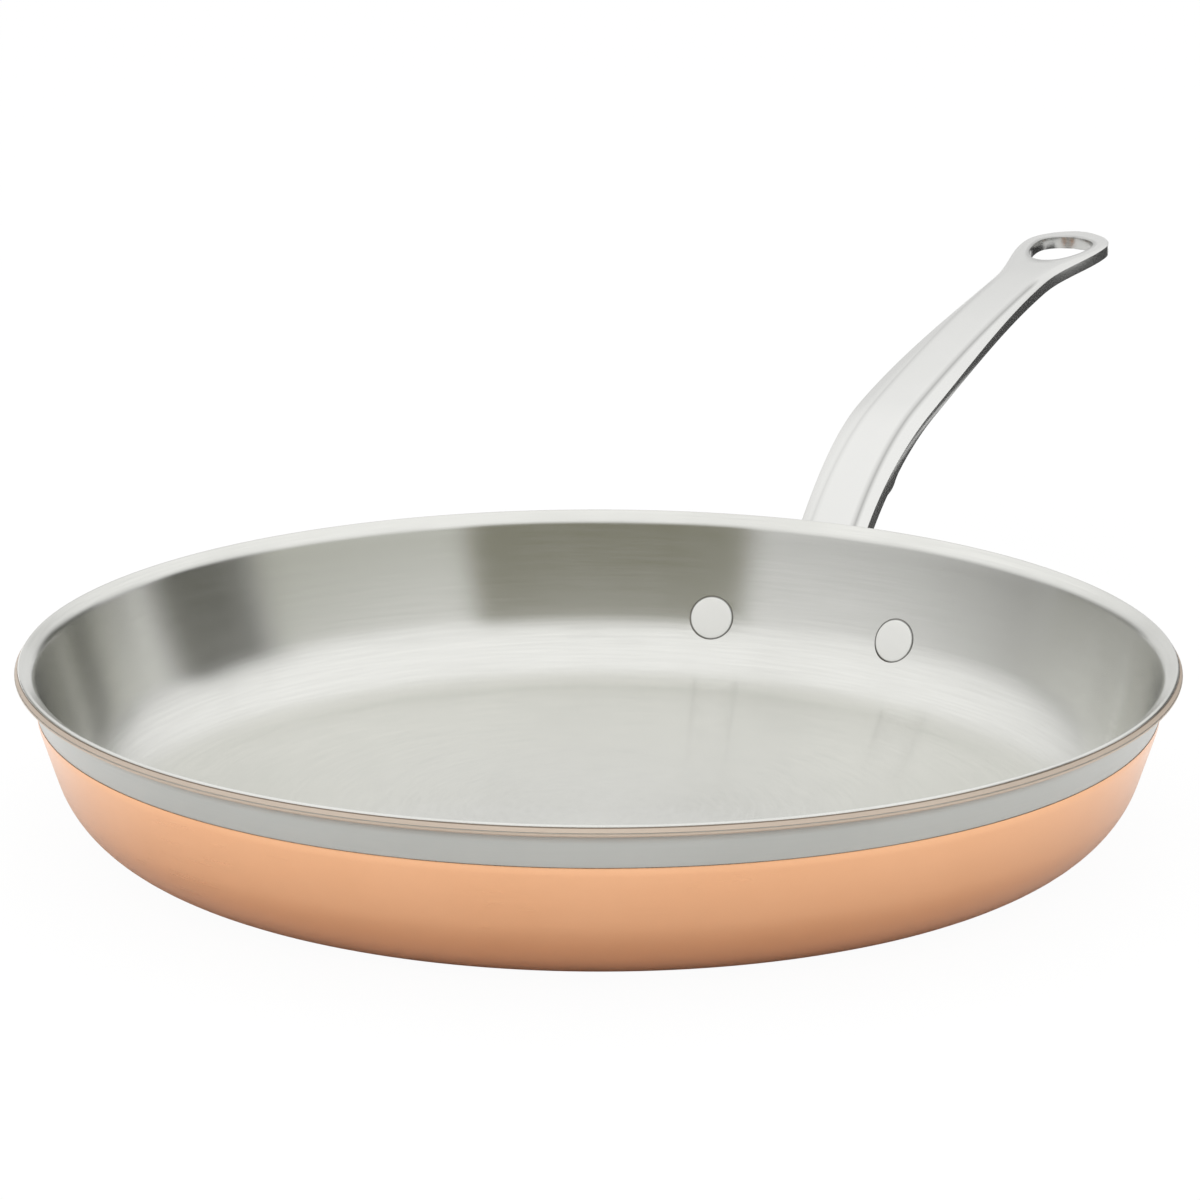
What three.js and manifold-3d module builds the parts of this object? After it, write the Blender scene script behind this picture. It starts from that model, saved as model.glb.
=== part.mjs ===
// Frying pan: a bowl of bonded metal plies with a flared pouring lip and a riveted cast handle.
// Millimetres, +Z up. The origin is the centre of the base's underside; the handle points along +X.
import * as THREE from "three";
import { mergeVertices } from "three/addons/utils/BufferGeometryUtils.js";
import Module from "manifold-3d";

const radians = THREE.MathUtils.degToRad;

// Bowl, measured on its outer surface
const BASE_FLAT_RADIUS = 109.8;
const CORNER_RADIUS = 25.9;
const WALL_LEAN = radians(17.7); // outwards from vertical
const WALL_STRAIGHT = 21.7; // length between the corner and the flare
const FLARE_RADIUS = 5;
const LIP_SLOPE = radians(31.5); // above horizontal
const LIP_LENGTH = 1.2;
const BAND_STRAIGHT = 6.3; // bare steel on the straight wall, below the flare

// Plies, from the cooking side outwards
const COOKING_PLY = 0.45;
const CORE_PLY = 1.45;
const BAND_PLY = 0.3;
const COPPER_PLY = 0.5;
const BOND_LINE = 0.02;

// Rivets, with heads let into the cooking surface
const RIVET_HEIGHT = 17.4; // head centre above the base
const RIVET_SPACING = 54;
const RIVET_HEAD_RADIUS = 5.9;
const RIVET_HEAD_DEPTH = 0.35; // with its clearance, through the cooking ply and short of the core's back
const RIVET_HEAD_PROUD = 0.5;
const RIVET_SHANK_RADIUS = 3;
const RIVET_TAIL_RADIUS = 5.5;
const RIVET_TAIL_HEIGHT = 2.2;
const RIVET_CLEARANCE = 0.3;

// Handle's flange, curved to the wall
const SEAT_GAP = 0.3;
const FLANGE_THICKNESS = 4;
const FLANGE_END_RADIUS = 11.5; // round each rivet

// Handle's path, level with the upper edges of its sides
const STEM_PAST_LIP = 3.7; // outwards from the lip's edge
const STEM_BELOW_CREST = 4.55;
const ROOT_ANGLE = radians(45);
const BEND_RADIUS = 100;
const GRIP_ANGLE = radians(14.5); // where the bend ends
const GRIP_RADIUS = 800;
const GRIP_LENGTH = 98; // from the bend to the neck
const NECK_LENGTH = 18; // from the neck to the hanging hole

// Handle's section
const FOOT_HALF_WIDTH = 16; // on the flange
const ROOT_HALF_WIDTH = 9.8; // beside the lip
const SWELL_HALF_WIDTH = 11.2; // at the end of the bend
const NECK_HALF_WIDTH = 8.1;
const PANEL_HALF_WIDTH = 5.3; // flat along the middle of the top
const PANEL_CROWN = 1.3; // of the flat above the sides
const ROOT_SIDE = 4.2; // height of the sides
const GRIP_SIDE = 2.3;
const LOOP_SIDE = 3.3;
const ROOT_BELLY = 4; // depth of the underside below the sides
const GRIP_BELLY = 1.8;
const STOP_PLACE = 23; // finger stop, from the lip along the path
const STOP_HALF_LENGTH = 7;
const STOP_SWELL = 1.8; // outwards from the sides
const STOP_DROP = 0.9; // of the sides' lower edges

// Hanging loop
const HOLE_HALF_WIDTH = 8.8;
const HOLE_TO_TIP = 8; // from the hole's widest place
const HOLE_TO_NECK = 19.5;
const LOOP_BAND = 4.2; // beside the hole
const LOOP_TIP = 7.5;
const LOOP_CROWN = 0.3;
const LOOP_EDGE = 1.2; // rounding of the top's edges
const LOOP_BELLY = 0.1;

// Smoothness
const BOWL_SEGMENTS = 64;
const CORNER_STEPS = 8;
const FLARE_STEPS = 3;
const RIVET_SEGMENTS = 24;
const RIVET_DOME_STEPS = 4;
const HOLE_SEGMENTS = 18;
const ROOT_STEPS = 3;
const BEND_STEPS = 14;
const GRIP_STEPS = 10;
const NECK_STEPS = 8;
const TIP_STEPS = 7;
const TIP_END_TURN = radians(84);

// Joining and cutting
const WELD_DISTANCE = 1e-4; // below which corners are the same
const CUT_THROUGH = 2; // reach of a cut, in spans of what it passes through

const wasm = await Module();
wasm.setup();

// Solids and meshes

/** Closed geometry as a solid, with its repeated corners joined. */
function solidOf(geometry) {
  const bare = new THREE.BufferGeometry();
  bare.setAttribute("position", geometry.getAttribute("position"));
  bare.setIndex(geometry.index);
  const joined = mergeVertices(bare, WELD_DISTANCE);
  const corners = joined.index.array;
  const triangles = [];
  for (let i = 0; i < corners.length; i += 3) {
    const [a, b, c] = corners.slice(i, i + 3);
    if (a !== b && b !== c && c !== a) triangles.push(a, b, c);
  }
  return new wasm.Manifold(
    new wasm.Mesh({
      numProp: 3,
      vertProperties: joined.getAttribute("position").array,
      triVerts: new Uint32Array(triangles),
    }),
  );
}

/** Named mesh of a solid. */
function meshOf(name, solid, material) {
  const { vertProperties, triVerts } = solid.getMesh();
  const geometry = new THREE.BufferGeometry();
  geometry.setAttribute("position", new THREE.BufferAttribute(vertProperties, 3));
  geometry.setIndex(new THREE.BufferAttribute(triVerts, 1));
  geometry.computeVertexNormals();
  const mesh = new THREE.Mesh(geometry, material);
  mesh.name = name;
  return mesh;
}

/** Solid turned about Z from a profile of radii and heights that closes on itself or on the axis. */
function turned(profile, segments) {
  return solidOf(new THREE.LatheGeometry(profile, segments).rotateX(Math.PI / 2));
}

// Bowl surfaces, each at a depth below the outer one

const WALL_TURN = Math.PI / 2 - WALL_LEAN;
const BOWL_THICKNESS = COOKING_PLY + CORE_PLY + BAND_PLY + COPPER_PLY + 3 * BOND_LINE;
const cornerCentre = new THREE.Vector2(BASE_FLAT_RADIUS, CORNER_RADIUS);
const wallDirection = new THREE.Vector2(Math.cos(WALL_TURN), Math.sin(WALL_TURN));
const wallOutward = new THREE.Vector2(Math.sin(WALL_TURN), -Math.cos(WALL_TURN));
const wallTop = cornerPoint(0, WALL_TURN).addScaledVector(wallDirection, WALL_STRAIGHT);
const flareCentre = wallTop.clone().addScaledVector(wallOutward, FLARE_RADIUS);

function cornerPoint(depth, turn) {
  const radius = CORNER_RADIUS - depth;
  return new THREE.Vector2(Math.sin(turn), -Math.cos(turn)).multiplyScalar(radius).add(cornerCentre);
}

function flarePoint(depth, slope) {
  const radius = FLARE_RADIUS + depth;
  return new THREE.Vector2(-Math.sin(slope), Math.cos(slope)).multiplyScalar(radius).add(flareCentre);
}

function lipPoint(depth) {
  const along = new THREE.Vector2(Math.cos(LIP_SLOPE), Math.sin(LIP_SLOPE));
  return flarePoint(depth, LIP_SLOPE).addScaledVector(along, LIP_LENGTH);
}

/** From the axis across the base and round the corner. */
function floorAndCorner(depth) {
  const points = [new THREE.Vector2(0, depth), new THREE.Vector2(BASE_FLAT_RADIUS, depth)];
  for (let i = 1; i <= CORNER_STEPS; i++) {
    points.push(cornerPoint(depth, (WALL_TURN * i) / CORNER_STEPS));
  }
  return points;
}

/** Whole surface, from the axis to the lip's edge. */
function bowlSurface(depth) {
  const points = floorAndCorner(depth);
  for (let i = 0; i <= FLARE_STEPS; i++) {
    points.push(flarePoint(depth, WALL_TURN + ((LIP_SLOPE - WALL_TURN) * i) / FLARE_STEPS));
  }
  return [...points, lipPoint(depth)];
}

/** Surface of the copper, which stops on the straight wall below the band. */
function copperSurface(depth) {
  const end = flarePoint(depth, WALL_TURN).addScaledVector(wallDirection, -BAND_STRAIGHT);
  return [...floorAndCorner(depth), end];
}

function plySolid(surface, depth, thickness) {
  return turned([...surface(depth), ...surface(depth + thickness).reverse()], BOWL_SEGMENTS);
}

/** Radius and turn from the base of the bowl's surface at a height on its corner or straight wall. */
function wallAt(depth, height) {
  const cosine = (CORNER_RADIUS - height) / (CORNER_RADIUS - depth);
  const turn = Math.min(Math.acos(cosine), WALL_TURN);
  const onCorner = cornerPoint(depth, turn);
  return { radius: onCorner.x + (height - onCorner.y) * Math.tan(WALL_LEAN), turn };
}

// Rivets

const rivetSeat = wallAt(BOWL_THICKNESS, RIVET_HEIGHT);
const rivetBearing = Math.asin(RIVET_SPACING / 2 / rivetSeat.radius);
const rivetGrip = BOWL_THICKNESS + SEAT_GAP + FLANGE_THICKNESS + RIVET_CLEARANCE;
const rivetReach = rivetSeat.radius + (rivetGrip / 2) * Math.sin(rivetSeat.turn);

/** Rivet along +Z from the cooking surface outwards, grown by a clearance to cut its hole. */
function rivetSolid(clearance) {
  const headRadius = RIVET_HEAD_RADIUS + clearance;
  const shankRadius = RIVET_SHANK_RADIUS + clearance;
  const headEnd = RIVET_HEAD_DEPTH + clearance;
  const profile = [
    new THREE.Vector2(0, -RIVET_HEAD_PROUD - clearance),
    new THREE.Vector2(headRadius, -RIVET_HEAD_PROUD - clearance),
    new THREE.Vector2(headRadius, headEnd),
    new THREE.Vector2(shankRadius, headEnd),
    new THREE.Vector2(shankRadius, rivetGrip),
  ];
  for (let i = 0; i <= RIVET_DOME_STEPS; i++) {
    const turn = (Math.PI / 2) * (i / RIVET_DOME_STEPS);
    const radius = (RIVET_TAIL_RADIUS + clearance) * Math.cos(turn);
    profile.push(new THREE.Vector2(radius, rivetGrip + RIVET_TAIL_HEIGHT * Math.sin(turn)));
  }
  return turned(profile, RIVET_SEGMENTS);
}

/** Place of a rivet whose +Z is the wall's outward normal; side is 1 on the left and -1 on the right. */
function rivetPlace(side) {
  const bearing = side * rivetBearing;
  const across = Math.sin(rivetSeat.turn);
  const outward = new THREE.Vector3(
    across * Math.cos(bearing),
    across * Math.sin(bearing),
    -Math.cos(rivetSeat.turn),
  );
  const turn = new THREE.Quaternion().setFromUnitVectors(new THREE.Vector3(0, 0, 1), outward);
  const seat = new THREE.Vector3(
    rivetSeat.radius * Math.cos(bearing),
    rivetSeat.radius * Math.sin(bearing),
    RIVET_HEIGHT,
  );
  return new THREE.Matrix4().compose(seat, turn, new THREE.Vector3(1, 1, 1));
}

const RIVET_SIDES = { rivet_left: 1, rivet_right: -1 };
const rivetHoles = Object.values(RIVET_SIDES).map((side) =>
  rivetSolid(RIVET_CLEARANCE).transform(rivetPlace(side).elements),
);

function withRivetHoles(solid) {
  return rivetHoles.reduce((rest, hole) => rest.subtract(hole), solid);
}

// Handle path: s runs along it from beside the lip

const lipEdge = lipPoint(0);
const crestHeight = lipPoint(BOWL_THICKNESS).y;
const pathStart = new THREE.Vector2(lipEdge.x + STEM_PAST_LIP, crestHeight - STEM_BELOW_CREST);
const rootDirection = new THREE.Vector2(Math.cos(ROOT_ANGLE), Math.sin(ROOT_ANGLE));
const rootUnderside = new THREE.Vector2(Math.sin(ROOT_ANGLE), -Math.cos(ROOT_ANGLE))
  .multiplyScalar(ROOT_SIDE + ROOT_BELLY)
  .add(pathStart);
// down to where the underside meets the flange's outer face
const rootLength =
  (rootUnderside.clone().sub(wallTop).dot(wallOutward) - SEAT_GAP - FLANGE_THICKNESS) /
  rootDirection.dot(wallOutward);
const bendEnd = BEND_RADIUS * (ROOT_ANGLE - GRIP_ANGLE);
const neckPlace = bendEnd + GRIP_LENGTH;
const holePlace = neckPlace + NECK_LENGTH + HOLE_TO_NECK;
const tipReach = HOLE_TO_TIP + LOOP_TIP;
const loopHalfWidth = HOLE_HALF_WIDTH + LOOP_BAND;

/** Point and slope after an arc that levels out from a slope. */
function levelled(from, slope, radius, length) {
  const angle = slope - length / radius;
  const step = new THREE.Vector2(
    Math.sin(slope) - Math.sin(angle),
    Math.cos(angle) - Math.cos(slope),
  );
  return { point: step.multiplyScalar(radius).add(from), angle };
}

function pathAt(s) {
  if (s <= 0) {
    return { point: pathStart.clone().addScaledVector(rootDirection, s), angle: ROOT_ANGLE };
  }
  const bend = levelled(pathStart, ROOT_ANGLE, BEND_RADIUS, Math.min(s, bendEnd));
  if (s <= bendEnd) return bend;
  return levelled(bend.point, GRIP_ANGLE, GRIP_RADIUS, s - bendEnd);
}

/** Smooth change of a size between two places on the path. */
function blend(s, from, to, sizeFrom, sizeTo) {
  return sizeFrom + (sizeTo - sizeFrom) * THREE.MathUtils.smoothstep(s, from, to);
}

function halfWidthAt(s) {
  if (s <= 0) return blend(s, -rootLength, 0, FOOT_HALF_WIDTH, ROOT_HALF_WIDTH);
  if (s <= bendEnd) return blend(s, 0, bendEnd, ROOT_HALF_WIDTH, SWELL_HALF_WIDTH);
  if (s <= neckPlace) return blend(s, bendEnd, neckPlace, SWELL_HALF_WIDTH, NECK_HALF_WIDTH);
  if (s <= holePlace) return blend(s, neckPlace, holePlace, NECK_HALF_WIDTH, loopHalfWidth);
  return loopHalfWidth * Math.sqrt(1 - ((s - holePlace) / tipReach) ** 2);
}

function sideAt(s) {
  if (s <= bendEnd) return blend(s, 0, bendEnd, ROOT_SIDE, GRIP_SIDE);
  return blend(s, bendEnd, neckPlace, GRIP_SIDE, LOOP_SIDE);
}

function bellyAt(s) {
  if (s <= bendEnd) return blend(s, 0, bendEnd, ROOT_BELLY, GRIP_BELLY);
  return blend(s, bendEnd, holePlace, GRIP_BELLY, LOOP_BELLY);
}

/** Ring of corners round the handle: the top's flat, a bevel and a side each way, and the underside. */
function sectionAt(s) {
  const { point, angle } = pathAt(s);
  const half = halfWidthAt(s);
  const crown = blend(s, neckPlace, holePlace, PANEL_CROWN, LOOP_CROWN);
  const loopFlat = half - Math.min(LOOP_EDGE, half / 2);
  const flat = blend(s, neckPlace, holePlace, PANEL_HALF_WIDTH, loopFlat);
  const stop = Math.max(0, 1 - ((s - STOP_PLACE) / STOP_HALF_LENGTH) ** 2);
  const lowerHalf = half + STOP_SWELL * stop;
  const under = -sideAt(s) - STOP_DROP * stop;
  const bottom = under - bellyAt(s);
  const corners = [
    [-flat, crown],
    [-half, 0],
    [-lowerHalf, under],
    [-flat, bottom],
    [flat, bottom],
    [lowerHalf, under],
    [half, 0],
    [flat, crown],
  ];
  return corners.map(
    ([across, rise]) =>
      new THREE.Vector3(point.x - rise * Math.sin(angle), across, point.y + rise * Math.cos(angle)),
  );
}

/** Closed skin over rings that have the same number of corners. */
function loftSolid(rings) {
  const count = rings[0].length;
  const positions = rings.flat().flatMap((corner) => corner.toArray());
  const index = [];
  for (let ring = 0; ring + 1 < rings.length; ring++) {
    for (let i = 0; i < count; i++) {
      const a = ring * count + i;
      const b = ring * count + ((i + 1) % count);
      index.push(a, b, a + count, b, b + count, a + count);
    }
  }
  const last = (rings.length - 1) * count;
  for (let i = 1; i + 1 < count; i++) {
    index.push(0, i + 1, i, last, last + i, last + i + 1);
  }
  const geometry = new THREE.BufferGeometry();
  geometry.setAttribute("position", new THREE.Float32BufferAttribute(positions, 3));
  geometry.setIndex(index);
  return solidOf(geometry);
}

function evenPlaces(from, to, steps) {
  return Array.from({ length: steps }, (_, i) => from + ((to - from) * i) / steps);
}

function stemSolid() {
  const tipPlaces = Array.from(
    { length: TIP_STEPS + 1 },
    (_, i) => holePlace + tipReach * Math.sin((TIP_END_TURN * i) / TIP_STEPS),
  );
  const places = [
    ...evenPlaces(-rootLength, 0, ROOT_STEPS),
    ...evenPlaces(0, bendEnd, BEND_STEPS),
    ...evenPlaces(bendEnd, neckPlace, GRIP_STEPS),
    ...evenPlaces(neckPlace, holePlace, NECK_STEPS),
    ...tipPlaces,
  ];
  return loftSolid(places.map(sectionAt));
}

/** Hanging hole, as a prism through the loop. */
function holeSolid() {
  const { point, angle } = pathAt(holePlace);
  const outline = new THREE.Shape()
    .absellipse(0, 0, HOLE_TO_TIP, HOLE_HALF_WIDTH, -Math.PI / 2, Math.PI / 2)
    .absellipse(0, 0, HOLE_TO_NECK, HOLE_HALF_WIDTH, Math.PI / 2, (3 * Math.PI) / 2);
  const reach = CUT_THROUGH * (LOOP_SIDE + LOOP_CROWN + LOOP_BELLY);
  const prism = new THREE.ExtrudeGeometry(outline, {
    depth: 2 * reach,
    bevelEnabled: false,
    curveSegments: HOLE_SEGMENTS,
  });
  prism.translate(0, 0, -reach).rotateY(-angle).translate(point.x, 0, point.y);
  return solidOf(prism);
}

/** Prism along X over an outline in Y and Z, long enough to pass through the wall. */
function prismAlongX(outline) {
  const prism = new THREE.ExtrudeGeometry(outline, {
    depth: CUT_THROUGH * lipEdge.x,
    bevelEnabled: false,
    curveSegments: HOLE_SEGMENTS,
  });
  prism.rotateX(Math.PI / 2).rotateZ(Math.PI / 2);
  return solidOf(prism);
}

/** Corner and straight wall at a depth, without the base. */
function wallLayer(depth) {
  return [...floorAndCorner(depth).slice(1), flarePoint(depth, WALL_TURN)];
}

/** Riveting flange: a layer outside the wall, cut to a band round both rivets and a web up to the stem. */
function flangeSolid() {
  const inner = wallLayer(-SEAT_GAP);
  const outer = wallLayer(-SEAT_GAP - FLANGE_THICKNESS);
  const layer = turned([...outer, ...inner.reverse(), outer[0]], BOWL_SEGMENTS);
  const y = rivetReach * Math.sin(rivetBearing);
  const z = RIVET_HEIGHT - (rivetGrip / 2) * Math.cos(rivetSeat.turn);
  const band = new THREE.Shape()
    .absarc(y, z, FLANGE_END_RADIUS, -Math.PI / 2, Math.PI / 2)
    .absarc(-y, z, FLANGE_END_RADIUS, Math.PI / 2, (3 * Math.PI) / 2);
  const web = new THREE.Shape()
    .moveTo(-FOOT_HALF_WIDTH, z)
    .lineTo(FOOT_HALF_WIDTH, z)
    .lineTo(FOOT_HALF_WIDTH, wallTop.y - BAND_STRAIGHT)
    .lineTo(-FOOT_HALF_WIDTH, wallTop.y - BAND_STRAIGHT);
  return prismAlongX(band).add(prismAlongX(web)).intersect(layer);
}

function handleSolid() {
  const seat = bowlSurface(-SEAT_GAP);
  const bowl = turned([...seat, new THREE.Vector2(0, seat.at(-1).y)], BOWL_SEGMENTS);
  const cast = stemSolid().subtract(bowl).add(flangeSolid());
  return withRivetHoles(cast.subtract(holeSolid()));
}

// Finishes

function metal(color, roughness) {
  return new THREE.MeshStandardMaterial({ color, roughness, metalness: 1 });
}

const brushedSteel = metal(0xd6d7d1, 0.32);
const rawAluminium = metal(0xc4c6c8, 0.5);
const bareSteel = metal(0xb6b9b2, 0.4);
const copper = metal(0xd79a6a, 0.3);
const castSteel = metal(0xe3e4df, 0.28);

// Assembly

const copperDepth = 0;
const bandDepth = copperDepth + COPPER_PLY + BOND_LINE;
const coreDepth = bandDepth + BAND_PLY + BOND_LINE;
const cookingDepth = coreDepth + CORE_PLY + BOND_LINE;

function lipRingSolid() {
  const under = [flarePoint(copperDepth, LIP_SLOPE), lipPoint(copperDepth)];
  const over = [lipPoint(copperDepth + COPPER_PLY), flarePoint(copperDepth + COPPER_PLY, LIP_SLOPE)];
  return turned([...under, ...over, under[0]], BOWL_SEGMENTS);
}

const pan = new THREE.Group();
pan.add(
  meshOf("cooking_surface", withRivetHoles(plySolid(bowlSurface, cookingDepth, COOKING_PLY)), brushedSteel),
  meshOf("aluminium_core", withRivetHoles(plySolid(bowlSurface, coreDepth, CORE_PLY)), rawAluminium),
  meshOf("steel_band_ply", withRivetHoles(plySolid(bowlSurface, bandDepth, BAND_PLY)), bareSteel),
  meshOf("copper_body", withRivetHoles(plySolid(copperSurface, copperDepth, COPPER_PLY)), copper),
  meshOf("copper_lip_ring", lipRingSolid(), copper.clone()),
  meshOf("handle", handleSolid(), castSteel),
);
for (const [name, side] of Object.entries(RIVET_SIDES)) {
  const rivet = meshOf(name, rivetSolid(0), castSteel.clone());
  rivet.applyMatrix4(rivetPlace(side));
  pan.add(rivet);
}

export default pan;
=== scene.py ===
"""Looks of a copper-clad frying pan with a riveted cast handle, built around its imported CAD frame.

The bowl's plies are turned ring by ring, the handle is drawn row by row as one casting, and the rivets
are turned and set in their holes. Every piece lies where its CAD node lies.
"""

import logging
import math
from collections.abc import Callable
from dataclasses import dataclass, field
from enum import Enum
from functools import cache

import bmesh
import bpy
from mathutils import Matrix, Quaternion, Vector


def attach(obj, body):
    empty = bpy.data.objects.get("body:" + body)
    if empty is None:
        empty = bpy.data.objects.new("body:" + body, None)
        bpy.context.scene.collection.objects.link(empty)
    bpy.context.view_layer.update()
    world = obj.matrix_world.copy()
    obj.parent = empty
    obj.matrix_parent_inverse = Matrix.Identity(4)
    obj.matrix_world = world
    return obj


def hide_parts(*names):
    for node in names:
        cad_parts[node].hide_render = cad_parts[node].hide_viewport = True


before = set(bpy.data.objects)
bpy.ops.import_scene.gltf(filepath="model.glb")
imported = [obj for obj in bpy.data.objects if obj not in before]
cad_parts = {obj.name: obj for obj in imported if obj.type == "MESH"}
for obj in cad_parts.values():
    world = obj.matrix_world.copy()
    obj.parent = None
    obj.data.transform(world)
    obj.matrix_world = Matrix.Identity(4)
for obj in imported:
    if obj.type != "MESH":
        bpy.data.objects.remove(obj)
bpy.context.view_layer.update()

LOG = logging.getLogger("frying_pan")
MM = 0.001
BODY = "root"
SAME_PLACE = 1e-6
# Name of the vertex attribute that holds painted shade, which darkens a finish towards its painted shade
# colour
PAINTED_SHADE = "painted_shade"
SHEET_SHARP_DEGREES = 30
CASTING_SHARP_DEGREES = 40
MATT_ROUGHNESS = 0.9
WHITE = (1.0, 1.0, 1.0, 1.0)

Piece = bpy.types.Object
Socket = bpy.types.NodeSocket
Ring = tuple[float, float]
Colour = tuple[float, float, float]
Section = list[Vector]
Row = list[Vector]
Grid = list[list[int]]


# Modelling bench


def deselect() -> None:
    """Leaves edit mode and deselects every object."""
    if bpy.context.object and bpy.context.object.mode != "OBJECT":
        bpy.ops.object.mode_set(mode="OBJECT")
    bpy.ops.object.select_all(action="DESELECT")


def take_up(piece: Piece) -> None:
    """Makes one piece the only selected and active object.

    Args:
        piece: the piece to work on.
    """
    deselect()
    piece.select_set(True)
    bpy.context.view_layer.objects.active = piece


def rename(piece: Piece, name: str) -> Piece:
    """Gives a piece and its mesh one name.

    Args:
        piece: the new piece.
        name: its name.

    Returns:
        The same piece.
    """
    piece.name = name
    piece.data.name = name
    return piece


def select_only(piece: Piece, vertices: list[int]) -> None:
    """Selects some vertices of a piece in edit mode, and nothing else.

    Args:
        piece: the piece in edit mode.
        vertices: numbers of the vertices.
    """
    shape = bmesh.from_edit_mesh(piece.data)
    shape.verts.ensure_lookup_table()
    for part in (*shape.faces, *shape.edges, *shape.verts):
        part.select = False
    for index in vertices:
        shape.verts[index].select = True
    shape.select_flush(True)
    bmesh.update_edit_mesh(piece.data, loop_triangles=False, destructive=False)


def close_up() -> None:
    """Merges doubles, turns all faces outwards and leaves edit mode."""
    bpy.ops.mesh.select_all(action="SELECT")
    bpy.ops.mesh.remove_doubles(threshold=SAME_PLACE)
    bpy.ops.mesh.normals_make_consistent(inside=False)
    bpy.ops.object.mode_set(mode="OBJECT")


def apply_modifier(piece: Piece, kind: str, **settings: object) -> None:
    """Adds a modifier with these settings and applies it.

    Args:
        piece: the piece that is changed.
        kind: Blender's name of the modifier's type.
        settings: values of the modifier's properties.
    """
    take_up(piece)
    modifier = piece.modifiers.new(kind.lower(), kind)
    for key, value in settings.items():
        setattr(modifier, key, value)
    bpy.ops.object.modifier_apply(modifier=modifier.name)


def drill(piece: Piece, cutters: list[Piece]) -> None:
    """Cuts the rivets' holes in a piece."""
    for cutter in cutters:
        apply_modifier(piece, "BOOLEAN", object=cutter, operation="DIFFERENCE", solver="EXACT")


def discard(pieces: list[Piece]) -> None:
    """Deletes pieces that only cut others.

    Args:
        pieces: the cutters.
    """
    deselect()
    for piece in pieces:
        piece.select_set(True)
    bpy.ops.object.delete()


def smooth(piece: Piece, degrees: float) -> None:
    """Shades a piece smooth, with sharp edges above an angle."""
    take_up(piece)
    bpy.ops.object.shade_smooth_by_angle(angle=math.radians(degrees))


def place(piece: Piece, matrix: Matrix) -> None:
    """Moves a piece and puts its new place into its mesh.

    Args:
        piece: the piece, at the origin.
        matrix: where it goes.
    """
    take_up(piece)
    piece.matrix_world = matrix
    bpy.ops.object.transform_apply(location=True, rotation=True, scale=True)


def paint_shade(piece: Piece, chosen: Callable[[Vector], bool]) -> None:
    """Paints shade on a turned piece: the chosen vertices take its finish's painted shade colour.

    Args:
        piece: the piece, at the origin.
        chosen: tells from a vertex's place, in metres, whether shade is painted on it.
    """
    marks = piece.data.attributes.new(PAINTED_SHADE, "FLOAT", "POINT")
    for vertex, spot in zip(piece.data.vertices, marks.data):
        spot.value = float(chosen(vertex.co))


def blend(value: float, low: float, high: float, start: float, end: float) -> float:
    """Smooth change from start to end while the value goes from low to high."""
    share = min(1.0, max(0.0, (value - low) / (high - low)))
    return start + (end - start) * share * share * (3 - 2 * share)


def heading(slope: float) -> Vector:
    """Unit step up a slope."""
    return Vector((math.cos(slope), math.sin(slope)))


def square_to(slope: float) -> Vector:
    """Unit step square to a slope, on its upper side."""
    return Vector((-math.sin(slope), math.cos(slope)))


@dataclass
class Turning:
    """A round piece, turned ring by ring about Z.

    The rings are radii and heights in millimetres. A piece that starts on the axis starts as a disc and
    ends in a pole, and any other closes on its first ring.
    """

    name: str
    segments: int
    on_axis: bool = True

    def build(self, rings: list[Ring]) -> Piece:
        """Extrudes a circle through the rings and closes it.

        Args:
            rings: radius and height of each ring in turn, in millimetres.

        Returns:
            The closed piece, at the origin.
        """
        radius, height = rings[0]
        deselect()
        bpy.ops.mesh.primitive_circle_add(
            vertices=self.segments,
            radius=radius * MM,
            fill_type="TRIFAN" if self.on_axis else "NOTHING",
            enter_editmode=True,
        )
        piece = rename(bpy.context.object, self.name)
        bpy.ops.transform.translate(value=(0, 0, height * MM))
        bpy.ops.mesh.select_mode(type="EDGE")
        if self.on_axis:
            bpy.ops.mesh.region_to_loop()
        for ring in rings[1:]:
            self.extrude_to((radius, height), ring)
            radius, height = ring
        if self.on_axis:
            bpy.ops.mesh.extrude_edges_move()
            bpy.ops.mesh.merge(type="CENTER")
        close_up()
        return piece

    def extrude_to(self, last: Ring, ring: Ring) -> None:
        """Extrudes the selected ring and moves it to the next radius and height.

        Args:
            last: the selected ring.
            ring: where the new one goes.
        """
        growth = ring[0] / last[0]
        rise = (0, 0, (ring[1] - last[1]) * MM)
        bpy.ops.mesh.extrude_edges_move(TRANSFORM_OT_translate={"value": rise})
        bpy.ops.transform.resize(value=(growth, growth, 1), center_override=(0, 0, ring[1] * MM))

    def round_rings(self, piece: Piece, rings: list[Ring], width: float, steps: int) -> None:
        """Bevels the edges that lie on some of the rings.

        Args:
            piece: the turned piece.
            rings: rings whose edges are rounded.
            width: width of the rounding in millimetres.
            steps: faces across the rounding.
        """
        take_up(piece)
        bpy.ops.object.mode_set(mode="EDIT")
        bpy.ops.mesh.select_mode(type="EDGE")
        bpy.ops.mesh.select_all(action="DESELECT")
        shape = bmesh.from_edit_mesh(piece.data)
        for edge in shape.edges:
            edge.select = any(all(self.on_ring(v.co, ring) for v in edge.verts) for ring in rings)
        bmesh.update_edit_mesh(piece.data)
        bpy.ops.mesh.bevel(offset=width * MM, segments=steps, profile=0.5, affect="EDGES")
        bpy.ops.object.mode_set(mode="OBJECT")

    @staticmethod
    def on_ring(point: Vector, ring: Ring) -> bool:
        """True where a point in metres lies on a ring in millimetres."""
        near = 2 * SAME_PLACE
        return abs(point.xy.length - ring[0] * MM) < near and abs(point.z - ring[1] * MM) < near


# Finishes


class Lay(Enum):
    """Which way the fine marks of a metal's finish run."""

    TURNED = "turned"
    CAST = "cast"


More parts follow.
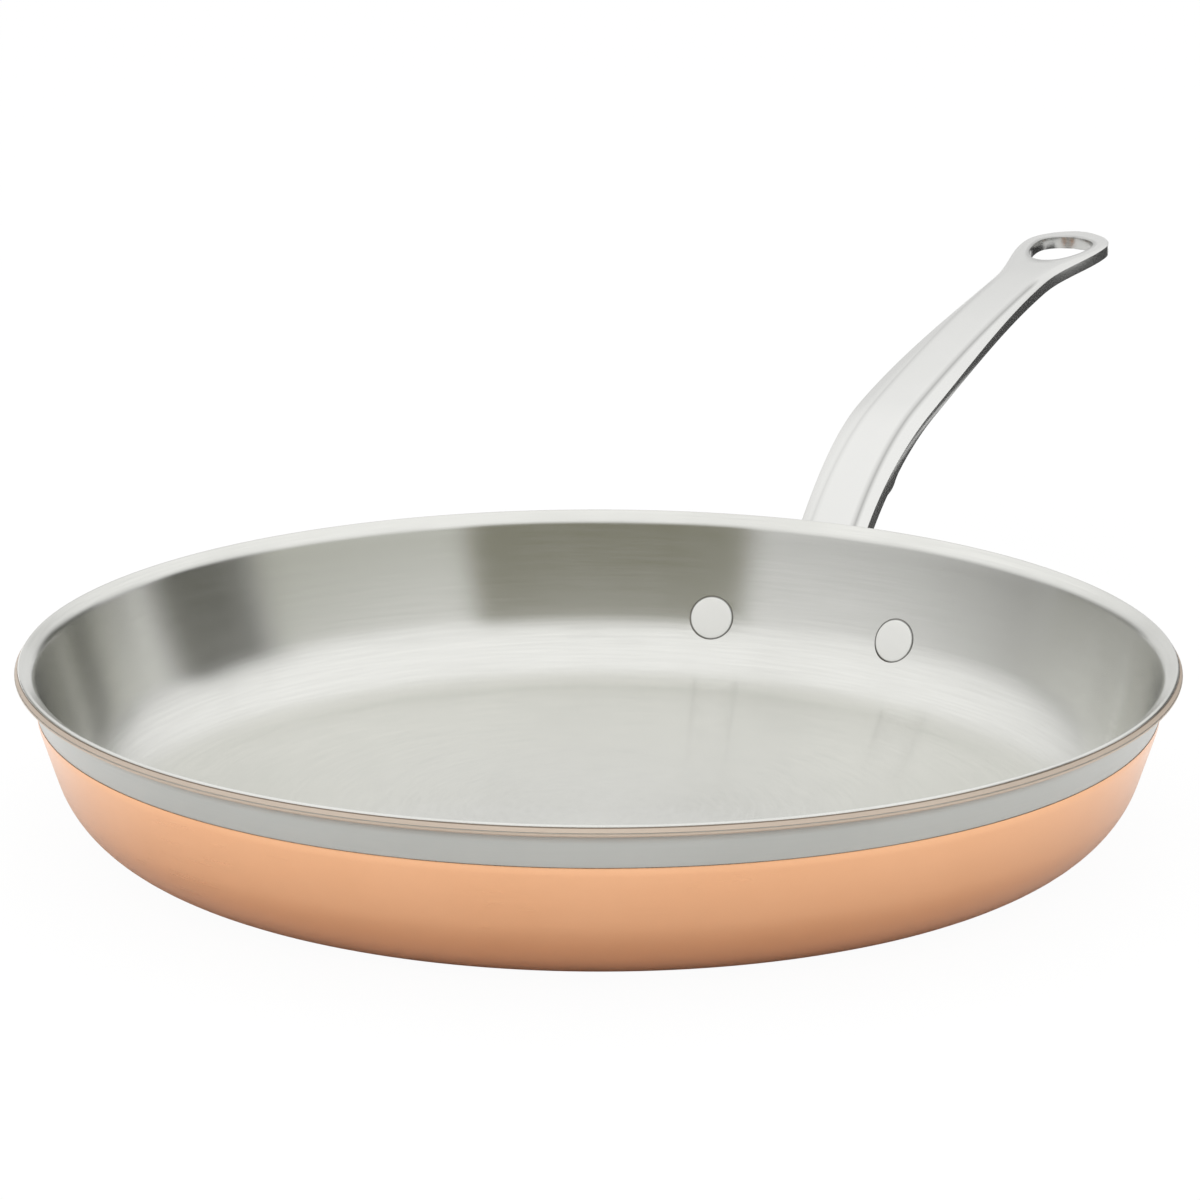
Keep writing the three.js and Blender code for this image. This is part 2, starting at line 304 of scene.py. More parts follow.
class Nodes:
    """A node tree that is written link by link."""

    def __init__(self, tree: bpy.types.NodeTree) -> None:
        """Starts with an empty tree."""
        self.tree = tree
        tree.nodes.clear()

    def add(
        self, kind: str, inputs: dict[str | int, object] | None = None, **settings: object
    ) -> bpy.types.Node:
        """Adds a node.

        Args:
            kind: Blender's identifier of the node.
            inputs: sockets by name or number, each with a value or an output to link.
            settings: values of the node's own properties.

        Returns:
            The new node.
        """
        node = self.tree.nodes.new(kind)
        for key, value in settings.items():
            setattr(node, key, value)
        for key, value in (inputs or {}).items():
            if isinstance(value, Socket):
                self.tree.links.new(value, node.inputs[key])
            else:
                node.inputs[key].default_value = value
        return node

    def math(self, operation: str, first: object, second: object = 0.0) -> Socket:
        """Output of a Math node on two values or outputs."""
        return self.add("ShaderNodeMath", {0: first, 1: second}, operation=operation).outputs[0]

    def vector(self, operation: str, inputs: dict[str | int, object], output: str = "Vector") -> Socket:
        """Output of a Vector Math node with these inputs."""
        return self.add("ShaderNodeVectorMath", inputs, operation=operation).outputs[output]

    def noise(self, **inputs: object) -> Socket:
        """Output of a Noise Texture node with these inputs."""
        return self.add("ShaderNodeTexNoise", inputs).outputs[0]

    def spread(self, value: object, low: float, high: float) -> Socket:
        """Output of a Map Range node that takes 0 to 1 on to low to high."""
        inputs = {"Value": value, "To Min": low, "To Max": high}
        return self.add("ShaderNodeMapRange", inputs).outputs["Result"]

    def mix(self, factor: Socket, first: object, second: object) -> Socket:
        """Output of a Mix node between two colours or outputs."""
        inputs = {"Factor": factor, "A": first, "B": second}
        return self.add("ShaderNodeMix", inputs, data_type="RGBA", clamp_factor=True).outputs["Result"]


class Effects:
    """Effects that several finishes share, each built once as a node group."""

    pit_fineness: float = 14.0

    @staticmethod
    def group(name: str, sockets: dict[str, float], output: str) -> tuple[Nodes, bpy.types.Node]:
        """Starts a group with float inputs and one float output.

        Args:
            name: the group's name.
            sockets: names of the inputs, with their usual values.
            output: name of the output.

        Returns:
            The group's nodes, and the one that gives its inputs.
        """
        tree = bpy.data.node_groups.new(name, "ShaderNodeTree")
        for socket, value in sockets.items():
            made = tree.interface.new_socket(socket, in_out="INPUT", socket_type="NodeSocketFloat")
            made.default_value = value
        tree.interface.new_socket(output, in_out="OUTPUT", socket_type="NodeSocketFloat")
        nodes = Nodes(tree)
        return nodes, nodes.add("NodeGroupInput")

    @classmethod
    @cache
    def turned_lines(cls) -> bpy.types.NodeTree:
        """Fine lines round the Z axis, as a turning tool or a polishing wheel leaves them.

        Returns:
            The node group.
        """
        nodes, given = cls.group("turned_lines", {"Lines per metre": 1600.0, "Break": 5.0}, "Lines")
        point = nodes.add("ShaderNodeTexCoord").outputs["Object"]
        axes = nodes.add("ShaderNodeSeparateXYZ", {0: point}).outputs
        level = nodes.add("ShaderNodeCombineXYZ", {"X": axes["X"], "Y": axes["Y"]}).outputs[0]
        radius = nodes.vector("LENGTH", {0: level}, "Value")
        bearing = nodes.vector("NORMALIZE", {0: level})
        spread = nodes.vector("SCALE", {0: bearing, "Scale": given.outputs["Break"]})
        reach = nodes.math("ADD", radius, axes["Z"])
        across = nodes.math("MULTIPLY", reach, given.outputs["Lines per metre"])
        line = nodes.add("ShaderNodeCombineXYZ", {"Z": across}).outputs[0]
        spot = nodes.vector("ADD", {0: spread, 1: line})
        lines = nodes.noise(Vector=spot, Scale=1.0, Detail=3.0, Roughness=0.62)
        nodes.add("NodeGroupOutput", {"Lines": lines})
        return nodes.tree

    @classmethod
    @cache
    def cast_grain(cls) -> bpy.types.NodeTree:
        """Soft unevenness of polished castings, with fine pits.

        Returns:
            The node group.
        """
        nodes, given = cls.group("cast_grain", {"Scale": 90.0, "Pits": 0.35}, "Grain")
        point = nodes.add("ShaderNodeTexCoord").outputs["Object"]
        scale = given.outputs["Scale"]
        swell = nodes.noise(Vector=point, Scale=scale, Detail=2.0)
        fine = nodes.math("MULTIPLY", scale, cls.pit_fineness)
        pits = nodes.noise(Vector=point, Scale=fine, Detail=2.0)
        mixed = nodes.add("ShaderNodeMix", {"Factor": given.outputs["Pits"], "A": swell, "B": pits})
        nodes.add("NodeGroupOutput", {"Grain": mixed.outputs["Result"]})
        return nodes.tree

    @classmethod
    @cache
    def hand_marks(cls) -> bpy.types.NodeTree:
        """Faint smudges and wiping marks of handling, 0 where clean and 1 where marked.

        Returns:
            The node group.
        """
        nodes, given = cls.group("hand_marks", {"Scale": 16.0}, "Marks")
        point = nodes.add("ShaderNodeTexCoord").outputs["Object"]
        scale = given.outputs["Scale"]
        broad = nodes.noise(Vector=point, Scale=scale, Detail=4.0, Roughness=0.55, Distortion=0.6)
        inputs = {"Value": broad, "From Min": 0.42, "From Max": 0.72}
        ramp = nodes.add("ShaderNodeMapRange", inputs, clamp=True)
        nodes.add("NodeGroupOutput", {"Marks": ramp.outputs["Result"]})
        return nodes.tree


@dataclass(frozen=True)
class MetalFinish:
    """Finish of one metal, with its marks and its handling.

    Colours are linear. Roughness and colour vary over the surface by the marks; anisotropy stretches
    reflections across turned lines.
    """

    name: str
    colour: Colour
    worn_colour: Colour
    roughness: tuple[float, float]
    lay: Lay
    fineness: float
    depth: float
    anisotropy: float = 0.0
    anisotropy_turn: float = 0.25
    marks: float = 0.25
    marks_roughness: float = 0.03
    streaks: float = 0.25
    relief: float = 0.5
    metallic: float = 1.0
    # Painted shade: a darker colour mixed in where a piece's painted shade attribute is set
    painted_shade_colour: Colour | None = None

    def material(self) -> bpy.types.Material:
        """Builds the procedural material.

        Returns:
            A new material named for the finish.
        """
        made = bpy.data.materials.new(self.name)
        made.use_nodes = True
        nodes = Nodes(made.node_tree)
        lines = self.pattern(nodes)
        marks = nodes.add("ShaderNodeGroup", node_tree=Effects.hand_marks()).outputs["Marks"]
        tone = nodes.math("MULTIPLY", marks, self.marks)
        tone = nodes.math("ADD", tone, nodes.spread(lines, 0.0, self.streaks))
        colour = nodes.mix(tone, (*self.colour, 1.0), (*self.worn_colour, 1.0))
        # Painted shade: darkens the colour where the piece's attribute says shade is painted
        if self.painted_shade_colour:
            painted_shade = nodes.add("ShaderNodeAttribute", attribute_name=PAINTED_SHADE).outputs["Fac"]
            colour = nodes.mix(painted_shade, colour, (*self.painted_shade_colour, 1.0))
        dulled = nodes.math("MULTIPLY", marks, self.marks_roughness)
        inputs = {"Height": lines, "Distance": self.depth * MM, "Strength": self.relief}
        shader = nodes.add(
            "ShaderNodeBsdfPrincipled",
            {
                "Base Color": colour,
                "Metallic": self.metallic,
                "Roughness": nodes.math("ADD", nodes.spread(lines, *self.roughness), dulled),
                "Normal": nodes.add("ShaderNodeBump", inputs).outputs["Normal"],
            },
        )
        if self.anisotropy:
            self.stretch(nodes, shader)
        nodes.add("ShaderNodeOutputMaterial", {"Surface": shader.outputs["BSDF"]})
        return made

    def pattern(self, nodes: Nodes) -> Socket:
        """Places the shared effect that this finish's marks follow.

        Args:
            nodes: the material's nodes.

        Returns:
            The effect's output.
        """
        if self.lay is Lay.TURNED:
            effect, scale, output = Effects.turned_lines(), "Lines per metre", "Lines"
        else:
            effect, scale, output = Effects.cast_grain(), "Scale", "Grain"
        return nodes.add("ShaderNodeGroup", {scale: self.fineness}, node_tree=effect).outputs[output]

    def stretch(self, nodes: Nodes, shader: bpy.types.Node) -> None:
        """Stretches reflections across the lines that run round Z.

        Args:
            nodes: the material's nodes.
            shader: its shader.
        """
        round_z = nodes.add("ShaderNodeTangent", direction_type="RADIAL", axis="Z")
        nodes.tree.links.new(round_z.outputs["Tangent"], shader.inputs["Tangent"])
        shader.inputs["Anisotropic"].default_value = self.anisotropy
        shader.inputs["Anisotropic Rotation"].default_value = self.anisotropy_turn


COOKING_STEEL = MetalFinish(
    "brushed_cooking_steel", colour=(0.885, 0.885, 0.85), worn_colour=(0.62, 0.62, 0.585),
    roughness=(0.17, 0.25), lay=Lay.TURNED, fineness=800.0, depth=0.02,
    anisotropy=0.9, marks=0.12, streaks=0.42,
)
# Its dark colour is painted shade, a thin line along the inner corner of the lip's cut edge
CORE_ALUMINIUM = MetalFinish(
    "cut_aluminium", colour=(0.63, 0.53, 0.44), worn_colour=(0.51, 0.42, 0.35),
    roughness=(0.42, 0.56), lay=Lay.TURNED, fineness=3000.0, depth=0.02,
    metallic=0.4, painted_shade_colour=(0.22, 0.17, 0.13),
)
BAND_STEEL = MetalFinish(
    "satin_band_steel", colour=(0.46, 0.475, 0.46), worn_colour=(0.38, 0.395, 0.38),
    roughness=(0.28, 0.38), lay=Lay.TURNED, fineness=2200.0, depth=0.02, anisotropy=0.5,
)
POLISHED_COPPER = MetalFinish(
    "polished_copper", colour=(0.80, 0.45, 0.26), worn_colour=(0.71, 0.37, 0.195),
    roughness=(0.20, 0.28), lay=Lay.TURNED, fineness=1800.0, depth=0.012, anisotropy=0.4,
)
DULLED_COPPER = MetalFinish(
    "dulled_copper_edge", colour=(0.56, 0.47, 0.385), worn_colour=(0.46, 0.38, 0.31),
    roughness=(0.34, 0.46), lay=Lay.TURNED, fineness=3000.0, depth=0.012, metallic=0.4,
)
# Its dark colour is painted shade in the handle's grooves and in its hanging hole
HANDLE_STEEL = MetalFinish(
    "polished_cast_steel", colour=(0.85, 0.85, 0.83), worn_colour=(0.76, 0.76, 0.74),
    roughness=(0.17, 0.25), lay=Lay.CAST, fineness=90.0, depth=0.03,
    painted_shade_colour=(0.34, 0.34, 0.33),
)
# Its dark colour is painted shade on the side of the rivet heads
RIVET_STEEL = MetalFinish(
    "polished_rivet_steel", colour=(0.95, 0.95, 0.93), worn_colour=(0.86, 0.86, 0.84),
    roughness=(0.6, 0.7), lay=Lay.CAST, fineness=240.0, depth=0.02,
    metallic=0.4, painted_shade_colour=(0.28, 0.28, 0.27),
)


def dress(piece: Piece, finish: MetalFinish, slot: str, *nodes: str) -> None:
    """Gives a piece its finish and its body, and hides the CAD nodes that it stands for.

    Args:
        piece: the finished mesh.
        finish: its metal.
        slot: the record's material slot; not used.
        nodes: CAD nodes that the piece replaces.
    """
    known = bpy.data.materials.get(finish.name)
    piece.data.materials.clear()
    piece.data.materials.append(known or finish.material())
    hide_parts(*nodes)
    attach(piece, BODY)
    LOG.info("%s: %d faces, for %s", piece.name, len(piece.data.polygons), ", ".join(nodes))


# Bowl


@dataclass
class BowlShape:
    """Section of the bowl, in millimetres, with depths measured inwards from the outer surface."""

    base_flat: float = 109.8
    corner: float = 25.9
    lean: float = math.radians(17.7)
    straight: float = 21.7
    flare: float = 5.0
    lip_slope: float = math.radians(31.5)
    lip_length: float = 1.2
    band_straight: float = 6.3
    floor_margin: float = 8.0
    lip_bend: float = 3.5
    bow: float = math.radians(3)
    feather: float = 2.0
    feather_steps: int = 4
    corner_steps: int = 18
    wall_steps: int = 10
    flare_steps: int = 8

    @property
    def wall_turn(self) -> float:
        """Angle of the straight wall above the base."""
        return math.pi / 2 - self.lean

    @property
    def outward(self) -> Vector:
        """Unit step square to the straight wall, away from the bowl."""
        return -square_to(self.wall_turn)

    def corner_point(self, depth: float, turn: float) -> Vector:
        """Point on the rounded corner at a turn from the base."""
        radius = self.corner - depth
        return Vector((self.base_flat + radius * math.sin(turn), self.corner - radius * math.cos(turn)))

    def wall_step(self, length: float) -> Vector:
        """Step of a length up the straight wall."""
        return heading(self.wall_turn) * length

    def wall_point(self, depth: float, turn: float, beyond: float) -> Vector:
        """Point on the corner, or on the straight wall a length beyond its end."""
        corner = self.corner_point(depth, min(turn, self.wall_turn))
        return corner + self.wall_step(max(0.0, beyond))

    def flare_point(self, depth: float, slope: float) -> Vector:
        """Point on the flare at a slope, from the wall's to the lip's."""
        top = self.corner_point(0, self.wall_turn) + self.wall_step(self.straight)
        return top + self.outward * self.flare + square_to(slope) * (self.flare + depth)

    def lip_point(self, depth: float) -> Vector:
        """Point on the lip's cut edge."""
        return self.flare_point(depth, self.lip_slope) + heading(self.lip_slope) * self.lip_length

    def slopes(self, start: float) -> list[float]:
        """Slopes in even steps from a start on the wall to the lip's."""
        turn = self.lip_slope - start
        return [start + turn * step / self.flare_steps for step in range(self.flare_steps + 1)]

    def floor_and_corner(self, depth: float, end: float | None = None) -> Section:
        """Section from inside the base's edge round the corner.

        Args:
            depth: depth of the surface.
            end: turn at which the corner ends, if not the straight wall's.

        Returns:
            Points of the section, in millimetres.
        """
        end = end or self.wall_turn
        points = [Vector((self.base_flat - self.floor_margin, depth))]
        for step in range(self.corner_steps + 1):
            points.append(self.corner_point(depth, end * step / self.corner_steps))
        return points

    def whole(self, depth: float) -> Section:
        """Section from the base to the lip's edge."""
        flare = [self.flare_point(depth, slope) for slope in self.slopes(self.wall_turn)]
        return [*self.floor_and_corner(depth), *flare, self.lip_point(depth)]

    def cooking_face(self, depth: float) -> Section:
        """Section from the base to the lip's edge, with a bowed wall and a tight bend at the lip.

        Args:
            depth: depth of the cooking face.

        Returns:
            Points of the section, in millimetres.
        """
        low, high = self.wall_turn - self.bow, self.wall_turn + self.bow
        points = self.floor_and_corner(depth, low)
        bend = self.bend_points(depth, high)
        foot, head = points[-1], bend[0]
        reach = (head - foot).length / 3
        rise, fall = foot + heading(low) * reach, head - heading(high) * reach
        for step in range(1, self.wall_steps):
            share = step / self.wall_steps
            first, last = foot.lerp(rise, share), fall.lerp(head, share)
            middle = rise.lerp(fall, share)
            points.append(first.lerp(middle, share).lerp(middle.lerp(last, share), share))
        return [*points, *bend, self.lip_point(depth)]

    def bend_points(self, depth: float, start: float) -> Section:
        """Points of the tight bend between the wall and the lip, from a slope on the wall.

        Args:
            depth: depth of the cooking face.
            start: slope where the bend leaves the wall.

        Returns:
            Points from the wall to the lip, in millimetres.
        """
        along = heading(self.lip_slope)
        turn = square_to(self.lip_slope) - square_to(start)
        lip, wall = self.lip_point(depth), self.flare_point(depth, self.wall_turn)
        back = (lip - turn * self.lip_bend - wall).dot(self.outward)
        last = lip - along * (back / along.dot(self.outward))
        centre = last - square_to(self.lip_slope) * self.lip_bend
        return [centre + square_to(slope) * self.lip_bend for slope in self.slopes(start)]

    def clad(self, depth: float) -> Section:
        """Section from the base to the copper's edge below the band."""
        end = self.flare_point(depth, self.wall_turn) - self.wall_step(self.band_straight)
        return [*self.floor_and_corner(depth), end]

    def feathered(self, depth: float, edge_depth: float) -> Section:
        """Section to the copper's edge below the band, thinned near that edge as grinding leaves it.

        Args:
            depth: depth of the surface.
            edge_depth: depth that it comes to at the edge.

        Returns:
            Points of the section, in millimetres.
        """
        points = self.floor_and_corner(depth)
        for step in range(self.feather_steps + 1):
            share = step / self.feather_steps
            sunk = depth + (edge_depth - depth) * share**2
            below = self.band_straight + self.feather * (1 - share)
            points.append(self.flare_point(sunk, self.wall_turn) - self.wall_step(below))
        return points


class Side(Enum):
    """Side of the handle, seen along it from the bowl. The value is its way along Y."""

    LEFT = 1
    RIGHT = -1


@dataclass
class Rivets:
    """The two rivets, along their own axes from the cooking surface outwards, in millimetres."""

    shape: BowlShape
    thickness: float
    height: float = 17.4
    spacing: float = 54.0
    head_radius: float = 5.9
    head_depth: float = 0.35
    proud: float = 0.5
    shank_radius: float = 3.0
    tail_radius: float = 5.5
    tail_height: float = 2.2
    tail_ease: float = 0.3
    tail_foot: float = 0.25
    clearance: float = 0.3
    hole_ease: float = 0.18
    seat_gap: float = 0.3
    flange: float = 4.0
    segments: int = 64
    dome_steps: int = 8
    pole_radius: float = 0.3
    # Share of the head's radius beyond which its side gets painted shade
    shaded_side_share: float = 0.97
    crown: tuple[Ring, ...] = (
        (0.1, 0.0), (0.4, 0.02), (0.66, 0.05), (0.84, 0.09), (0.93, 0.13), (0.975, 0.18), (1.0, 0.28)
    )

    @property
    def turn(self) -> float:
        """Turn of the bowl's corner at the rivets."""
        return math.acos((self.shape.corner - self.height) / (self.shape.corner - self.thickness))

    @property
    def seat_radius(self) -> float:
        """Radius of the cooking surface at the rivets' height."""
        return self.shape.corner_point(self.thickness, self.turn).x

    @property
    def grip(self) -> float:
        """Length between the cooking surface and the tail."""
        return self.thickness + self.seat_gap + self.flange + self.clearance

    def seating(self, side: Side) -> Matrix:
        """Where a rivet goes.

        Args:
            side: which of the two.

        Returns:
            The rivet's place, with Z along its axis outwards.
        """
        bearing = side.value * math.asin(self.spacing / 2 / self.seat_radius)
        across = math.sin(self.turn)
        outward = Vector((across * math.cos(bearing), across * math.sin(bearing), -math.cos(self.turn)))
        seat = Vector((math.cos(bearing), math.sin(bearing), 0)) * self.seat_radius
        seat.z = self.height
        turn: Quaternion = Vector((0, 0, 1)).rotation_difference(outward)
        return Matrix.Translation(seat * MM) @ turn.to_matrix().to_4x4()

    def cutter(self, side: Side) -> Piece:
        """Turns the solid that cuts a rivet's hole through the plies and the flange.

        Args:
            side: which of the two rivets.

        Returns:
            The cutter, in its place.
        """
        head = self.head_radius + self.hole_ease
        shank = self.shank_radius + self.hole_ease
        floor = self.head_depth + self.hole_ease
        reach = self.grip + self.tail_height
        rings = [(head, -self.grip), (head, floor), (shank, floor), (shank, reach)]
        cutter = Turning(f"rivet_cutter_{side.value}", self.segments).build(rings)
        place(cutter, self.seating(side))
        return cutter

    def build(self, name: str, side: Side) -> Piece:
        """Turns a rivet with a low crowned head and a domed tail, and sets it in its hole.

        Args:
            name: the piece's name.
            side: which of the two.

        Returns:
            The rivet, in its place.
        """
        head, tail = self.head_radius, self.tail_radius
        rings = [(share * head, rise - self.proud) for share, rise in self.crown]
        rings += [(head, self.head_depth), (self.shank_radius, self.head_depth)]
        rings += [(self.shank_radius, self.grip), (tail - self.tail_ease, self.grip)]
        foot, dome = self.grip + self.tail_foot, self.tail_height - self.tail_foot
        for step in range(self.dome_steps):
            turn = math.pi / 2 * step / self.dome_steps
            rings.append((tail * math.cos(turn), foot + dome * math.sin(turn)))
        rings.append((self.pole_radius, self.grip + self.tail_height))
        rivet = Turning(name, self.segments).build(rings)
        self.paint_head_side_shade(rivet)
        place(rivet, self.seating(side))
        smooth(rivet, CASTING_SHARP_DEGREES)
        return rivet

    def paint_head_side_shade(self, rivet: Piece) -> None:
        """Paints shade on the side of the head, where it stands proud of the cooking surface."""
        paint_shade(rivet, lambda spot: spot.xy.length > self.shaded_side_share * self.head_radius * MM)


@dataclass
class Bowl:
    """The bonded plies of the bowl, from the cooking side outwards."""

    shape: BowlShape = field(default_factory=BowlShape)
    cooking_ply: float = 0.45
    core_ply: float = 1.45
    band_ply: float = 0.3
    copper_ply: float = 0.5
    bond: float = 0.02
    stand_clear: float = 0.001
    crest_round: float = 0.6
    edge_round: float = 0.5
    edge_step: float = 0.1
    edge_eased: float = 0.03
    eased_steps: int = 3
    ring_eased_steps: int = 2
    # Reach of the painted shade round the core's corner, in millimetres
    corner_shade_reach: float = 0.25
    steel_edge: float = 0.8
    band_edge: float = 0.1
    copper_edge: float = 0.12
    segments: int = 192

    @property
    def thickness(self) -> float:
        """Thickness of all the plies and bonds."""
        return self.cooking_ply + self.core_ply + self.band_ply + self.copper_ply + 3 * self.bond

    def ply(self, name: str, depth: float, thickness: float, edge: Section) -> Piece:
        """Turns a ply of one thickness from the base to the lip, with its outer surface at a depth."""
        return self.sheet(name, self.shape.whole(depth + thickness), self.shape.whole(depth), edge)

    def sheet(self, name: str, inside: Section, outside: Section, edge: Section) -> Piece:
        """Turns a sheet between two surfaces and eases its edge's corners.

        Args:
            name: the piece's name.
            inside: section of its inner surface, up to the edge.
            outside: section of its outer surface, up to the edge.
            edge: section of its cut edge, from the inside out.

        Returns:
            The turned sheet.
        """
        turning = Turning(name, self.segments)
        rings = [tuple(point) for point in (*inside[:-1], *edge, *reversed(outside[:-1]))]
        piece = turning.build(rings)
        corners = [tuple(edge[0]), tuple(edge[-1])]
        turning.round_rings(piece, corners, self.edge_eased, self.eased_steps)
        return piece

    def nose(self, depth: float) -> Vector:
        """Point of the lip's rounded cut edge.

        Args:
            depth: depth of the point.

        Returns:
            The point of the section, in millimetres.
        """
        back = 0.0
        for gap, radius in ((self.thickness - depth, self.crest_round), (depth, self.edge_round)):
            short = max(0.0, radius - gap)
            back += radius - math.sqrt(radius**2 - short**2)
        return self.shape.lip_point(depth) - heading(self.shape.lip_slope) * back

    def cut_edge(self, inner: float, outer: float) -> Section:
        """Section of the lip's cut edge between two depths, from the inside out."""
        steps = max(1, round((inner - outer) / self.edge_step))
        return [self.nose(inner + (outer - inner) * step / steps) for step in range(steps + 1)]

    def lip_ring(self, name: str) -> Piece:
        """Turns the ring of copper left on the lip above the band.

        Args:
            name: the piece's name.

        Returns:
            The turned ring.
        """
        slope = self.shape.lip_slope
        under, over = self.shape.flare_point(0, slope), self.shape.flare_point(self.copper_ply, slope)
        edge = self.cut_edge(self.copper_ply, 0.0)
        rings = [tuple(point) for point in (under, over, *edge)]
        corners = [tuple(point) for point in (under, over, edge[0])]
        turning = Turning(name, self.segments, on_axis=False)
        piece = turning.build([*rings, rings[0]])
        turning.round_rings(piece, corners, self.edge_eased, self.ring_eased_steps)
        return piece

    def paint_corner_shade(self, piece: Piece, corner: Vector) -> None:
        """Paints shade along a corner of a ply's cut edge, as a thin dark line."""
        reach = self.corner_shade_reach * MM
        paint_shade(piece, lambda spot: (Vector((spot.xy.length, spot.z)) - corner * MM).length < reach)

    def build(self, rivets: Rivets) -> None:
        """Makes, drills and dresses every ply.

        Args:
            rivets: the rivets that go through them.
        """
        band = self.copper_ply + self.bond
        core = band + self.band_ply + self.bond
        cooking = core + self.core_ply + self.bond
        steel_foot = self.thickness - self.steel_edge
        band_top = band + self.band_edge
        inside = self.shape.cooking_face(self.thickness)
        edge = self.cut_edge(self.thickness, steel_foot)
        face = self.sheet("cooking_ply", inside, self.shape.whole(cooking), edge)
        core_edge = self.cut_edge(steel_foot - self.bond, band_top + self.bond)
        filling = self.ply("core_ply", core, self.core_ply, core_edge)
        # Painted shade: a thin dark line along the core's inner corner at the lip
        self.paint_corner_shade(filling, core_edge[0])
        outer = self.ply("band_ply", band, self.band_ply, self.cut_edge(band_top, band))
        lining = self.shape.clad(self.copper_ply)
        skin = self.shape.feathered(self.stand_clear, self.copper_ply - self.copper_edge)
        copper = self.sheet("copper_skin", lining, skin, [lining[-1], skin[-1]])
        pieces = [
            (face, COOKING_STEEL, "cooking_steel", "cooking_surface"),
            (filling, CORE_ALUMINIUM, "core_aluminium", "aluminium_core"),
            (outer, BAND_STEEL, "band_steel", "steel_band_ply"),
            (copper, POLISHED_COPPER, "copper", "copper_body"),
        ]
        cutters = [rivets.cutter(side) for side in Side]
        for piece, finish, slot, node in pieces:
            drill(piece, cutters)
            smooth(piece, SHEET_SHARP_DEGREES)
            dress(piece, finish, slot, node)
        discard(cutters)
        ring = self.lip_ring("copper_lip_line")
        smooth(ring, SHEET_SHARP_DEGREES)
        dress(ring, DULLED_COPPER, "copper", "copper_lip_ring")


# Handle


class Column(Enum):
    """Lines along half of the handle, from the middle of its top round to the middle of its underside."""

    TOP_MIDDLE = 0
    TOP_PANEL = 1
    PANEL_EDGE = 2
    BEVEL = 3
    SIDE_TOP = 4
    SIDE_FOOT = 5
    UNDER_BEVEL = 6
    BELLY_EDGE = 7
    BELLY = 8
    BELLY_MIDDLE = 9


# How far each line of the underside follows the fillet at the handle's root
FILLET_WEIGHTS = {Column.BELLY_MIDDLE: 1.0, Column.BELLY: 0.9, Column.BELLY_EDGE: 0.4}


